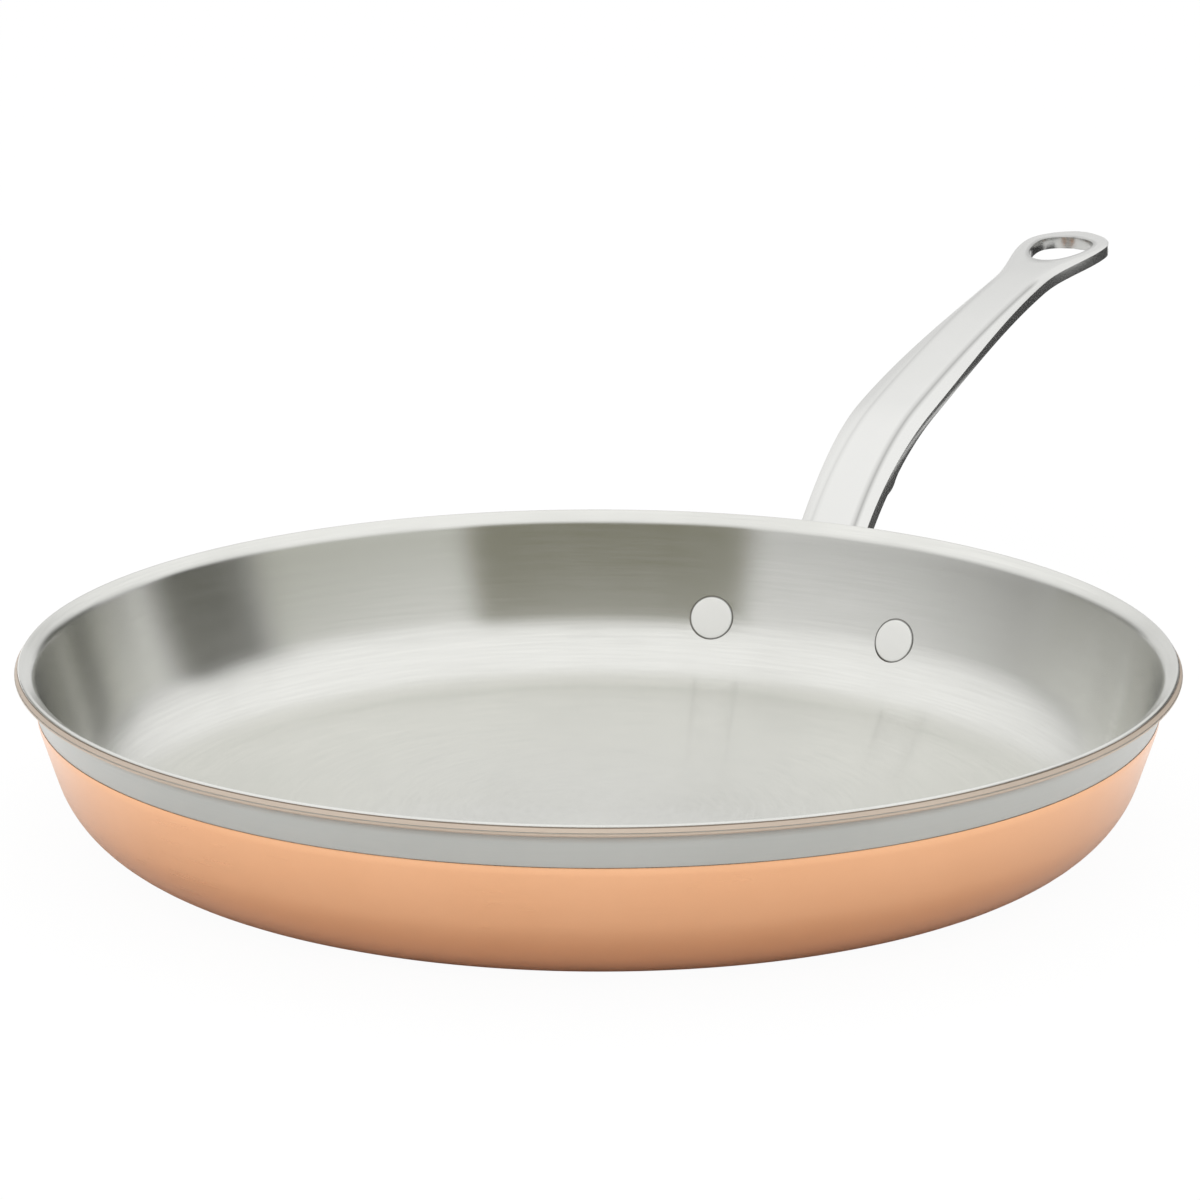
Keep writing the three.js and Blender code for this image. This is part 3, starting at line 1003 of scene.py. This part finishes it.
@dataclass
class Handle:
    """The cast handle, as rows of a half section along its path, in millimetres.

    The rows start at the lower edge of the riveting flange, climb the wall, leave it under the lip and
    follow the stem and the grip to the tip of the hanging loop. A row of the flange's lobes has its
    height above the rivets and its swell, one of its shoulders also its half width between them, and
    turns round the hanging hole and the tip are in degrees. Holds are creases, from 0 to 1.
    """

    shape: BowlShape
    rivets: Rivets
    stem_past_lip: float = 3.7
    stem_below_crest: float = 4.55
    root_angle: float = math.radians(45)
    bend_radius: float = 100.0
    grip_angle: float = math.radians(14.5)
    grip_radius: float = 800.0
    grip_length: float = 98.0
    neck_length: float = 18.0
    foot_half: float = 13.4
    root_half: float = 9.8
    swell_half: float = 11.2
    neck_half: float = 8.1
    panel_half: float = 5.3
    panel_crown: float = 1.3
    root_side: float = 4.2
    grip_side: float = 2.3
    loop_side: float = 3.3
    root_belly: float = 4.0
    grip_belly: float = 1.8
    stop_place: float = 23.0
    stop_half_length: float = 8.5
    stop_inset: float = 0.7
    stop_drop: float = 2.8
    hole_half: float = 8.8
    hole_to_tip: float = 8.0
    hole_to_neck: float = 19.5
    loop_band: float = 4.2
    loop_tip: float = 7.5
    loop_crown: float = 0.3
    loop_edge: float = 1.2
    loop_belly: float = 0.1
    lobe_radius: float = 11.5
    flange_draft: float = 0.8
    flange_shares: tuple[float, ...] = (0.0, 0.27, 0.54, 0.77, 1.0)
    lobe_rows: tuple[tuple[float, float], ...] = (
        (-11.4, 0.0), (-10.0, 0.0), (-7.5, 0.0), (-4.0, 0.0), (0.0, 0.0), (4.0, 0.2)
    )
    shoulder_rows: tuple[tuple[float, float, float], ...] = (
        (7.5, 36.4, 0.36), (10.0, 32.6, 0.5), (11.5, 26.5, 0.6), (13.0, 20.0, 0.7), (14.6, 16.4, 0.83)
    )
    stem_start: float = -9.0
    bend_rows: int = 14
    grip_rows: int = 12
    neck_rows: int = 4
    hole_neck_turns: tuple[float, ...] = (0, 14, 28, 44, 62, 80)
    hole_tip_turns: tuple[float, ...] = (80, 60, 42, 26, 12, 0)
    tip_turns: tuple[float, ...] = (42, 54, 66, 76, 84)
    groove_depth: float = 0.3
    groove_half: float = 0.8
    # Strength of the painted shade in the grooves beside the top's flat
    groove_painted_shade: float = 0.75
    groove_out: float = 1.1
    # Share of the grooves' painted shade kept on the handle's left, where the light leaves them paler
    far_shade_share: float = 0.3
    # Strength of the painted shade on the hanging hole's wall
    hole_painted_shade: float = 0.7
    side_hold: float = 0.9
    groove_hold: float = 0.7
    stop_hold: float = 0.7
    belly_hold: float = 0.25
    rim_hold: float = 0.45
    smooth_levels: int = 2

    @property
    def start(self) -> Vector:
        """Start of the path, beside the lip."""
        edge, crest = self.shape.lip_point(0), self.shape.lip_point(self.rivets.thickness)
        return Vector((edge.x + self.stem_past_lip, crest.y - self.stem_below_crest))

    @property
    def bend_end(self) -> float:
        """Path length to the end of the bend."""
        return self.bend_radius * (self.root_angle - self.grip_angle)

    @property
    def neck(self) -> float:
        """Path length to the neck."""
        return self.bend_end + self.grip_length

    @property
    def hole(self) -> float:
        """Path length to the widest place of the hanging hole."""
        return self.neck + self.neck_length + self.hole_to_neck

    @property
    def loop_half(self) -> float:
        """Half width of the hanging loop."""
        return self.hole_half + self.loop_band

    @property
    def flange_rows(self) -> int:
        """Number of rows on the flange."""
        return len(self.lobe_rows) + len(self.shoulder_rows)

    def path_at(self, s: float) -> tuple[Vector, float]:
        """Point and slope of the path.

        Args:
            s: length along the path from the lip, below 0 under it.

        Returns:
            The point, in millimetres, and the slope.
        """
        if s <= 0:
            return self.start + heading(self.root_angle) * s, self.root_angle
        point, slope = self.levelled(self.start, self.root_angle, self.bend_radius, min(s, self.bend_end))
        if s <= self.bend_end:
            return point, slope
        return self.levelled(point, self.grip_angle, self.grip_radius, s - self.bend_end)

    @staticmethod
    def levelled(start: Vector, slope: float, radius: float, length: float) -> tuple[Vector, float]:
        """Point and slope after an arc that levels out.

        Args:
            start: where the arc starts.
            slope: its slope there.
            radius: its radius.
            length: length along it.

        Returns:
            The point, in millimetres, and the slope.
        """
        end = slope - length / radius
        step = Vector((math.sin(slope) - math.sin(end), math.cos(end) - math.cos(slope)))
        return start + step * radius, end

    def half_at(self, s: float) -> float:
        """Half width of the stem, grip or loop.

        Args:
            s: place on the path.

        Returns:
            The half width, in millimetres.
        """
        if s <= 0:
            return blend(s, self.stem_start, 0, self.foot_half, self.root_half)
        if s <= self.bend_end:
            return blend(s, 0, self.bend_end, self.root_half, self.swell_half)
        if s <= self.neck:
            return blend(s, self.bend_end, self.neck, self.swell_half, self.neck_half)
        if s <= self.hole:
            return blend(s, self.neck, self.hole, self.neck_half, self.loop_half)
        share = (s - self.hole) / (self.hole_to_tip + self.loop_tip)
        return self.loop_half * math.sqrt(max(0.0, 1 - share * share))

    def stop_at(self, s: float) -> float:
        """How far the finger stop has grown at a place on the path, from 0 to 1."""
        return max(0.0, 1 - ((s - self.stop_place) / self.stop_half_length) ** 2) ** 2

    def stem_row(self, s: float, inner: float = 0.0) -> Row:
        """Half section of the stem, grip or loop.

        Args:
            s: place on the path.
            inner: half width of the hanging hole there.

        Returns:
            One point for each column, in millimetres.
        """
        point, slope = self.path_at(s)
        half = self.half_at(s)
        crown = blend(s, self.neck, self.hole, self.panel_crown, self.loop_crown)
        loop_flat = half - min(self.loop_edge, half / 2)
        flat = blend(s, self.neck, self.hole, self.panel_half, loop_flat)
        if s <= self.bend_end:
            side = blend(s, 0, self.bend_end, self.root_side, self.grip_side)
            belly = blend(s, 0, self.bend_end, self.root_belly, self.grip_belly)
        else:
            side = blend(s, self.bend_end, self.neck, self.grip_side, self.loop_side)
            belly = blend(s, self.bend_end, self.hole, self.grip_belly, self.loop_belly)
        under, bottom = -side, -side - belly
        lug = Vector(((flat + half) / 2, (under + bottom) / 2)).lerp(
            Vector((half - self.stop_inset, under - self.stop_drop)), self.stop_at(s)
        )
        dip = blend(s, self.neck, self.hole - self.hole_to_neck, self.groove_depth, 0.0)
        edge = blend(s, self.neck, self.hole, flat + self.groove_out, flat)
        before = blend(s, self.neck, self.hole, edge - self.groove_half, (inner + flat) / 2)
        after = blend(s, self.neck, self.hole, edge + self.groove_half, (flat + half) / 2)
        corners = [
            (inner, crown),
            (before, crown),
            (edge, crown - dip),
            (after, crown * (half - after) / (half - edge)),
            (half, 0.0),
            (half, under),
            lug,
            (flat, bottom),
            ((inner + flat) / 2, bottom),
            (inner, bottom),
        ]
        sine, cosine = math.sin(slope), math.cos(slope)
        return [Vector((point.x - up * sine, across, point.y + up * cosine)) for across, up in corners]

    def flange_row(self, up: float, half: float, swell: float) -> Row:
        """Half section of the flange, curved to the bowl.

        Args:
            up: distance up the wall from the rivets' line.
            half: half width there.
            swell: 0 on the plain flange, to 1 where its outside has become the stem's underside.

        Returns:
            One point for each column, in millimetres.
        """
        reach = self.shape.corner + self.rivets.seat_gap
        turn = self.rivets.turn + up / reach
        beyond = (turn - self.shape.wall_turn) * reach
        inner = self.shape.wall_point(-self.rivets.seat_gap, turn, beyond)
        outer = self.shape.wall_point(-self.rivets.seat_gap - self.rivets.flange, turn, beyond)
        under = self.fillet_point(swell)
        shares = self.flange_shares
        row = [self.round_bowl(inner, half * share) for share in shares]
        for column, share in zip(list(Column)[len(shares) :], reversed(shares)):
            weight = FILLET_WEIGHTS.get(column, 0.0) if swell > 0 else 0.0
            row.append(self.round_bowl(outer.lerp(under, weight), (half - self.flange_draft) * share))
        return row

    def fillet_point(self, share: float) -> Vector:
        """Point on the fillet between the flange's outside and the stem's underside.

        Args:
            share: 0 at the flange, to 1 at the stem.

        Returns:
            The point of the section, in millimetres.
        """
        face = -self.rivets.seat_gap - self.rivets.flange
        base = self.shape.corner_point(face, self.rivets.turn)
        wall = self.shape.corner_point(face, self.shape.wall_turn)
        last = self.stem_row(self.stem_start)[-1]
        end = Vector((last.x, last.z))
        stem = heading(self.root_angle)
        climb = self.shape.wall_step(1.0)
        corner = wall + climb * ((end - wall).cross(stem) / climb.cross(stem))
        return base.lerp(corner, share).lerp(corner.lerp(end, share), share)

    @staticmethod
    def round_bowl(point: Vector, across: float) -> Vector:
        """Point at a distance across the handle on a circle round the bowl."""
        return Vector((math.sqrt(point.x**2 - across**2), across, point.y))

    def rows(self) -> tuple[list[Row], range]:
        """Draws up all rows from the flange to the tip.

        Returns:
            The rows, and the numbers of those that lie beside the hanging hole.
        """
        bearing = self.rivets.spacing / 2 / self.rivets.seat_radius
        middle = (self.rivets.seat_radius + self.rivets.grip / 2) * bearing
        rows = []
        for up, swell in self.lobe_rows:
            half = middle + math.sqrt(self.lobe_radius**2 - up**2)
            rows.append(self.flange_row(up, half, swell))
        rows += [self.flange_row(*shoulder) for shoulder in self.shoulder_rows]
        rows += [self.stem_row(s) for s in self.stem_places()]
        first_hole_row = len(rows)
        rows += [self.hole_row(degrees, self.hole_to_neck, -1) for degrees in self.hole_neck_turns]
        rows += [self.hole_row(degrees, self.hole_to_tip, 1) for degrees in self.hole_tip_turns]
        hole_rows = range(first_hole_row, len(rows))
        reach = self.hole_to_tip + self.loop_tip
        for degrees in self.tip_turns:
            rows.append(self.stem_row(self.hole + reach * math.sin(math.radians(degrees))))
        return rows, hole_rows

    def stem_places(self) -> list[float]:
        """Places on the path of the rows from under the lip to the hanging hole.

        Returns:
            Lengths along the path, in millimetres.
        """
        places = [self.stem_start, self.stem_start / 2]
        spans = (
            (0.0, self.bend_end, self.bend_rows),
            (self.bend_end, self.grip_length, self.grip_rows),
            (self.neck, self.neck_length, self.neck_rows),
        )
        for start, length, steps in spans:
            places += [start + length * step / steps for step in range(steps)]
        return places

    def hole_row(self, degrees: float, reach: float, way: int) -> Row:
        """Half section beside the hanging hole at an angle from one of its ends."""
        turn = math.radians(degrees)
        return self.stem_row(self.hole + way * reach * math.cos(turn), self.hole_half * math.sin(turn))

    def build(self, name: str) -> Piece:
        """Draws the rows, closes the half, mirrors it and smooths it.

        Args:
            name: the piece's name.

        Returns:
            The closed casting, with its rivet holes.
        """
        rows, hole_rows = self.rows()
        casting, grid = self.draw(name, rows)
        self.close(casting, grid, hole_rows)
        self.paint_groove_shade(casting, grid, hole_rows)
        self.crease(casting, grid, hole_rows)
        apply_modifier(casting, "MIRROR", use_axis=(False, True, False), merge_threshold=2 * SAME_PLACE)
        self.lighten_far_painted_shade(casting)
        apply_modifier(casting, "SUBSURF", levels=self.smooth_levels, render_levels=self.smooth_levels)
        cutters = [self.rivets.cutter(side) for side in Side]
        drill(casting, cutters)
        discard(cutters)
        smooth(casting, CASTING_SHARP_DEGREES)
        return casting

    def draw(self, name: str, rows: list[Row]) -> tuple[Piece, Grid]:
        """Extrudes a strip row by row and moves each new row to its place.

        Args:
            name: the piece's name.
            rows: points of every row.

        Returns:
            The piece in edit mode, and the vertex numbers of each row.
        """
        width = len(Column)
        deselect()
        bpy.ops.mesh.primitive_grid_add(
            x_subdivisions=width - 1, y_subdivisions=1, size=MM, enter_editmode=True
        )
        casting = rename(bpy.context.object, name)
        bpy.ops.mesh.select_mode(type="VERT")
        grid = [list(range(width)), list(range(width, 2 * width))]
        for numbers, row in zip(grid, rows):
            self.set_row(casting, numbers, row)
        for row in rows[2:]:
            grid.append(self.extrude_row(casting, grid[-1]))
            self.set_row(casting, grid[-1], row)
        return casting, grid

    @staticmethod
    def extrude_row(casting: Piece, last: list[int]) -> list[int]:
        """Extrudes the last row.

        Args:
            casting: the piece in edit mode.
            last: vertex numbers of its last row.

        Returns:
            The vertex numbers of the new row.
        """
        before = len(bmesh.from_edit_mesh(casting.data).verts)
        select_only(casting, last)
        bpy.ops.mesh.extrude_edges_move()
        shape = bmesh.from_edit_mesh(casting.data)
        shape.verts.index_update()
        shape.verts.ensure_lookup_table()
        new = []
        for number in last:
            vertex = shape.verts[number]
            ends = [edge.other_vert(vertex).index for edge in vertex.link_edges]
            new.append(next(end for end in ends if end >= before))
        return new

    @staticmethod
    def set_row(casting: Piece, numbers: list[int], row: Row) -> None:
        """Moves each vertex of a row to its point.

        Args:
            casting: the piece in edit mode.
            numbers: vertex numbers of the row.
            row: its points.
        """
        for number, point in zip(numbers, row):
            select_only(casting, [number])
            shape = bmesh.from_edit_mesh(casting.data)
            shape.verts.ensure_lookup_table()
            bpy.ops.transform.translate(value=point * MM - shape.verts[number].co)

    @staticmethod
    def close(casting: Piece, grid: Grid, hole_rows: range) -> None:
        """Fills both ends and the wall of the hanging hole.

        Args:
            casting: the piece in edit mode.
            grid: vertex numbers of each row.
            hole_rows: numbers of the rows beside the hole.
        """
        last = len(Column) - 1
        for row in (grid[0], grid[-1]):
            for column in range(last // 2):
                corners = (column, column + 1, last - column - 1, last - column)
                select_only(casting, [row[corner] for corner in corners])
                bpy.ops.mesh.edge_face_add()
        for low, high in zip(hole_rows, hole_rows[1:]):
            select_only(casting, [grid[low][0], grid[high][0], grid[high][last], grid[low][last]])
            bpy.ops.mesh.edge_face_add()
        bpy.ops.mesh.select_all(action="SELECT")
        bpy.ops.mesh.normals_make_consistent(inside=False)

    def paint_groove_shade(self, casting: Piece, grid: Grid, hole_rows: range) -> None:
        """Paints shade in the grooves beside the top's flat, as far as the neck, and on the wall of the
        hanging hole.

        Args:
            casting: the piece in edit mode.
            grid: vertex numbers of each row.
            hole_rows: numbers of the rows beside the hole.
        """
        shape = bmesh.from_edit_mesh(casting.data)
        shape.verts.ensure_lookup_table()
        layer = shape.verts.layers.float.new(PAINTED_SHADE)
        for row in grid[self.flange_rows : hole_rows.start - self.neck_rows]:
            shape.verts[row[Column.PANEL_EDGE.value]][layer] = self.groove_painted_shade
        for row in (grid[number] for number in hole_rows):
            for column in (Column.TOP_MIDDLE, Column.BELLY_MIDDLE):
                shape.verts[row[column.value]][layer] = self.hole_painted_shade
        bmesh.update_edit_mesh(casting.data)

    def lighten_far_painted_shade(self, casting: Piece) -> None:
        """Lightens the painted shade in the grooves on the handle's left, where the light leaves them
        paler than on its right.

        Args:
            casting: the mirrored piece.
        """
        reach = (self.shape.lip_point(0).x + self.neck) * MM
        for vertex, spot in zip(casting.data.vertices, casting.data.attributes[PAINTED_SHADE].data):
            if vertex.co.y > 0 and vertex.co.x < reach:
                spot.value *= self.far_shade_share

    def crease(self, casting: Piece, grid: Grid, hole_rows: range) -> None:
        """Keeps the long edges, the stops, the hole's rim and the flange's lower edge crisp.

        Args:
            casting: the piece in edit mode.
            grid: vertex numbers of each row.
            hole_rows: numbers of the rows beside the hole.
        """
        rows, stem = range(len(grid) - 1), self.flange_rows
        stop_rows = [stem + i for i, s in enumerate(self.stem_places()) if self.stop_at(s) > 0]
        lines = [
            (rows, Column.SIDE_TOP, self.side_hold),
            (rows, Column.SIDE_FOOT, self.side_hold),
            (range(stem, hole_rows.start), Column.PANEL_EDGE, self.groove_hold),
            (range(stem, hole_rows.stop), Column.BELLY_EDGE, self.belly_hold),
            (stop_rows, Column.UNDER_BEVEL, self.stop_hold),
            (hole_rows[:-1], Column.TOP_MIDDLE, self.rim_hold),
            (hole_rows[:-1], Column.BELLY_MIDDLE, self.rim_hold),
        ]
        pairs = [((grid[i][c.value], grid[i + 1][c.value]), hold) for span, c, hold in lines for i in span]
        pairs += [((a, b), self.rim_hold) for a, b in zip(grid[0], grid[0][1:])]
        shape = bmesh.from_edit_mesh(casting.data)
        shape.verts.ensure_lookup_table()
        creases = shape.edges.layers.float
        layer = creases.get("crease_edge") or creases.new("crease_edge")
        for (a, b), hold in pairs:
            shape.edges.get((shape.verts[a], shape.verts[b]))[layer] = hold
        bmesh.update_edit_mesh(casting.data)
        bpy.ops.object.mode_set(mode="OBJECT")


# Studio


def matt(name: str, shade: float, glow: float = 0.0) -> bpy.types.Material:
    """Builds a plain matt grey for the stage.

    Args:
        name: the material's name.
        shade: its brightness.
        glow: share of plain white in what the camera sees of it.

    Returns:
        The new material.
    """
    made = bpy.data.materials.new(name)
    made.use_nodes = True
    nodes = Nodes(made.node_tree)
    inputs = {"Base Color": (shade, shade, shade, 1.0), "Roughness": MATT_ROUGHNESS}
    surface = nodes.add("ShaderNodeBsdfPrincipled", inputs).outputs["BSDF"]
    if glow:
        seen = nodes.add("ShaderNodeLightPath").outputs["Is Camera Ray"]
        white = nodes.add("ShaderNodeEmission").outputs["Emission"]
        inputs = {0: nodes.math("MULTIPLY", seen, glow), 1: surface, 2: white}
        surface = nodes.add("ShaderNodeMixShader", inputs).outputs["Shader"]
    nodes.add("ShaderNodeOutputMaterial", {"Surface": surface})
    return made


@dataclass(frozen=True)
class Flag:
    """A side of the studio, dark or pale, that only reflections see.

    Bearings and heights are in degrees; a positive bearing is on the camera's right.
    """

    start: float
    end: float
    top: float
    shade: Colour
    side_edge: float = 2.0
    top_edge: float = 12.0


@dataclass
class Sheet:
    """A dark or grey sheet on the floor, along the handle's right, that only the metal reflects."""

    name: str
    centre: tuple[float, float]
    length: float
    shade: float = 0.02
    width: float = 0.4
    turn: float = math.radians(-20.8)
    lift: float = 0.002

    def build(self) -> None:
        """Lays the sheet, hidden from the camera, from diffuse light and from shadows."""
        deselect()
        bpy.ops.mesh.primitive_plane_add(size=1)
        sheet = rename(bpy.context.object, self.name)
        spot = Matrix.Translation((*self.centre, self.lift)) @ Matrix.Rotation(self.turn, 4, "Z")
        place(sheet, spot @ Matrix.Diagonal((self.length, self.width, 1, 1)))
        sheet.visible_camera = sheet.visible_diffuse = sheet.visible_shadow = False
        sheet.data.materials.append(matt(self.name, self.shade))


@dataclass
class Lamp:
    """A soft square light that faces the pan, whitens the floor and leaves no highlight."""

    name: str
    spot: Vector
    size: float
    power: float

    def build(self) -> None:
        """Hangs the light."""
        light = bpy.data.lights.new(self.name, "AREA")
        light.size = self.size
        light.energy = self.power
        lamp = bpy.data.objects.new(self.name, light)
        lamp.location = self.spot
        lamp.rotation_euler = (-self.spot).to_track_quat("-Z", "Y").to_euler()
        lamp.visible_camera = lamp.visible_glossy = False
        bpy.context.scene.collection.objects.link(lamp)


@dataclass
class Studio:
    """Pale floor, soft light, the dark sides that the metal reflects, and the camera."""

    handle_bearing: float = math.radians(25.5)
    camera_back: float = 1193.46
    camera_height: float = 379.95
    pitch: float = 0.2643
    roll: float = 0.0012
    lens: float = 150.0
    sensor: float = 36.0
    shift: float = 0.00116
    floor_size: float = 30.0
    floor_white: float = 0.94
    floor_glow: float = 0.96
    front_lamp_back: float = 1.3
    front_lamp_height: float = 1.0

    @property
    def away(self) -> Vector:
        """Level direction from the camera to the pan."""
        return Vector((math.cos(self.handle_bearing), math.sin(self.handle_bearing), 0))

    @property
    def right(self) -> Vector:
        """Level direction to the camera's right."""
        return Vector((math.sin(self.handle_bearing), -math.cos(self.handle_bearing), 0))

    def build(self) -> None:
        """Sets the whole stage."""
        self.set_world()
        self.lay_floor()
        self.set_camera()
        for piece in (*self.sheets(), *self.lamps()):
            piece.build()

    @staticmethod
    def sheets() -> list[Sheet]:
        """The sheets that the handle's right side reflects, from its root to its tip."""
        return [
            Sheet("dark_root_sheet", centre=(0.3315, -0.0475), length=0.1465),
            Sheet("grey_bend_sheet", centre=(0.4325, -0.0859), length=0.0695, shade=0.5),
            Sheet("dark_side_sheet", centre=(1.722, -0.5755), length=2.689),
        ]

    def lamps(self) -> list[Lamp]:
        """The light over the pan and the one in front of it."""
        front = Vector((0, 0, self.front_lamp_height)) - self.away * self.front_lamp_back
        return [
            Lamp("overhead_light", Vector((0.2, 0.1, 2.4)), size=2.2, power=26.0),
            Lamp("front_light", front, size=1.2, power=4.5),
        ]

    @staticmethod
    def heights() -> list[tuple[float, float]]:
        """Brightness of the white studio by the sine of the height above the horizon."""
        return [(0.0, 0.16), (0.12, 0.28), (0.29, 0.65), (0.45, 0.91), (0.75, 0.96), (1.0, 1.18)]

    @staticmethod
    def flags() -> list[Flag]:
        """The studio's dark sides round the camera, at its right and behind, and its white back."""
        return [
            Flag(20.0, 80.0, 20.0, (0.38, 0.385, 0.33), side_edge=4.0),
            Flag(-146.0, -112.0, 12.0, (0.2, 0.2, 0.18), side_edge=4.0, top_edge=8.0),
            Flag(-34.0, 29.0, 33.0, (0.11, 0.105, 0.05), side_edge=4.0),
            Flag(80.0, 108.0, 26.0, (0.05, 0.05, 0.04), side_edge=6.0),
            Flag(129.0, 158.0, 15.0, (0.08, 0.08, 0.07), side_edge=4.0, top_edge=6.0),
            Flag(163.0, 200.0, 24.0, (0.77, 0.77, 0.77), side_edge=4.0),
            Flag(-200.0, -154.0, 24.0, (0.77, 0.77, 0.77), side_edge=3.0),
        ]

    def set_world(self) -> None:
        """Gives the world a soft white light that grows with height, changed at the flags."""
        world = bpy.data.worlds.new("white_studio")
        world.use_nodes = True
        nodes = Nodes(world.node_tree)
        ray = nodes.add("ShaderNodeTexCoord").outputs["Generated"]
        rise = nodes.add("ShaderNodeSeparateXYZ", {0: ray}).outputs["Z"]
        front = nodes.vector("DOT_PRODUCT", {0: ray, 1: -self.away}, "Value")
        across = nodes.vector("DOT_PRODUCT", {0: ray, 1: self.right}, "Value")
        bearing = nodes.math("DEGREES", nodes.math("ARCTAN2", across, front))
        height = nodes.math("DEGREES", nodes.math("ARCSINE", rise))
        ramp = nodes.add("ShaderNodeValToRGB", {0: rise})
        ramp.color_ramp.interpolation = "B_SPLINE"
        stops = ramp.color_ramp.elements
        while len(stops) < len(self.heights()):
            stops.new(1.0)
        for stop, (spot, light) in zip(stops, self.heights()):
            stop.position, stop.color = spot, (light, light, light, 1.0)
        colour = ramp.outputs["Color"]
        for flag in self.flags():
            colour = self.hang_flag(nodes, flag, colour, bearing, height)
        seen = nodes.add("ShaderNodeLightPath").outputs["Is Camera Ray"]
        glow = nodes.add("ShaderNodeBackground", {"Color": nodes.mix(seen, colour, WHITE)})
        nodes.add("ShaderNodeOutputWorld", {"Surface": glow.outputs["Background"]})
        bpy.context.scene.world = world
        bpy.context.scene.view_settings.view_transform = "Standard"

    @staticmethod
    def hang_flag(nodes: Nodes, flag: Flag, colour: Socket, bearing: Socket, height: Socket) -> Socket:
        """Changes the studio's light within a flag.

        Args:
            nodes: the world's nodes.
            flag: the dark or pale side.
            colour: light so far.
            bearing: bearing of the ray in degrees.
            height: height of the ray in degrees.

        Returns:
            The light with the flag in it.
        """
        covered = None
        edges = [
            (bearing, flag.start, flag.side_edge),
            (bearing, flag.end, -flag.side_edge),
            (height, flag.top, -flag.top_edge),
        ]
        for value, spot, soft in edges:
            inputs = {"Value": value, "From Min": spot - abs(soft), "From Max": spot + abs(soft)}
            inputs |= {"To Min": float(soft < 0), "To Max": float(soft > 0)}
            ramp = nodes.add("ShaderNodeMapRange", inputs, interpolation_type="SMOOTHSTEP")
            edge = ramp.outputs["Result"]
            covered = nodes.math("MULTIPLY", covered, edge) if covered else edge
        return nodes.mix(covered, colour, (*flag.shade, 1.0))

    def lay_floor(self) -> None:
        """Lays a large pale floor that the camera sees almost without shadows."""
        deselect()
        bpy.ops.mesh.primitive_plane_add(size=self.floor_size)
        floor = rename(bpy.context.object, "studio_floor")
        floor.data.materials.append(matt("pale_floor", self.floor_white, self.floor_glow))

    def set_camera(self) -> None:
        """Puts the camera at the photograph's place and angle."""
        aim = self.away * math.cos(self.pitch) - Vector((0, 0, math.sin(self.pitch)))
        data = bpy.data.cameras.new("photo_camera")
        data.lens, data.sensor_width, data.shift_x = self.lens, self.sensor, self.shift
        camera = bpy.data.objects.new("photo_camera", data)
        camera.location = -self.away * self.camera_back * MM + Vector((0, 0, self.camera_height * MM))
        camera.rotation_mode = "QUATERNION"
        level = aim.to_track_quat("-Z", "Y")
        camera.rotation_quaternion = level @ Quaternion((0, 0, 1), self.roll)
        bpy.context.scene.collection.objects.link(camera)
        bpy.context.scene.camera = camera


def main() -> None:
    """Builds the stage, the bowl, the rivets and the handle, in that order."""
    logging.basicConfig(level=logging.INFO, format="%(message)s")
    Studio().build()
    bowl = Bowl()
    rivets = Rivets(bowl.shape, bowl.thickness)
    bowl.build(rivets)
    dress(rivets.build("left_rivet", Side.LEFT), RIVET_STEEL, "rivet_steel", "rivet_left")
    dress(rivets.build("right_rivet", Side.RIGHT), RIVET_STEEL, "rivet_steel", "rivet_right")
    dress(Handle(bowl.shape, rivets).build("cast_handle"), HANDLE_STEEL, "handle_steel", "handle")


if __name__ == "__main__":
    main()
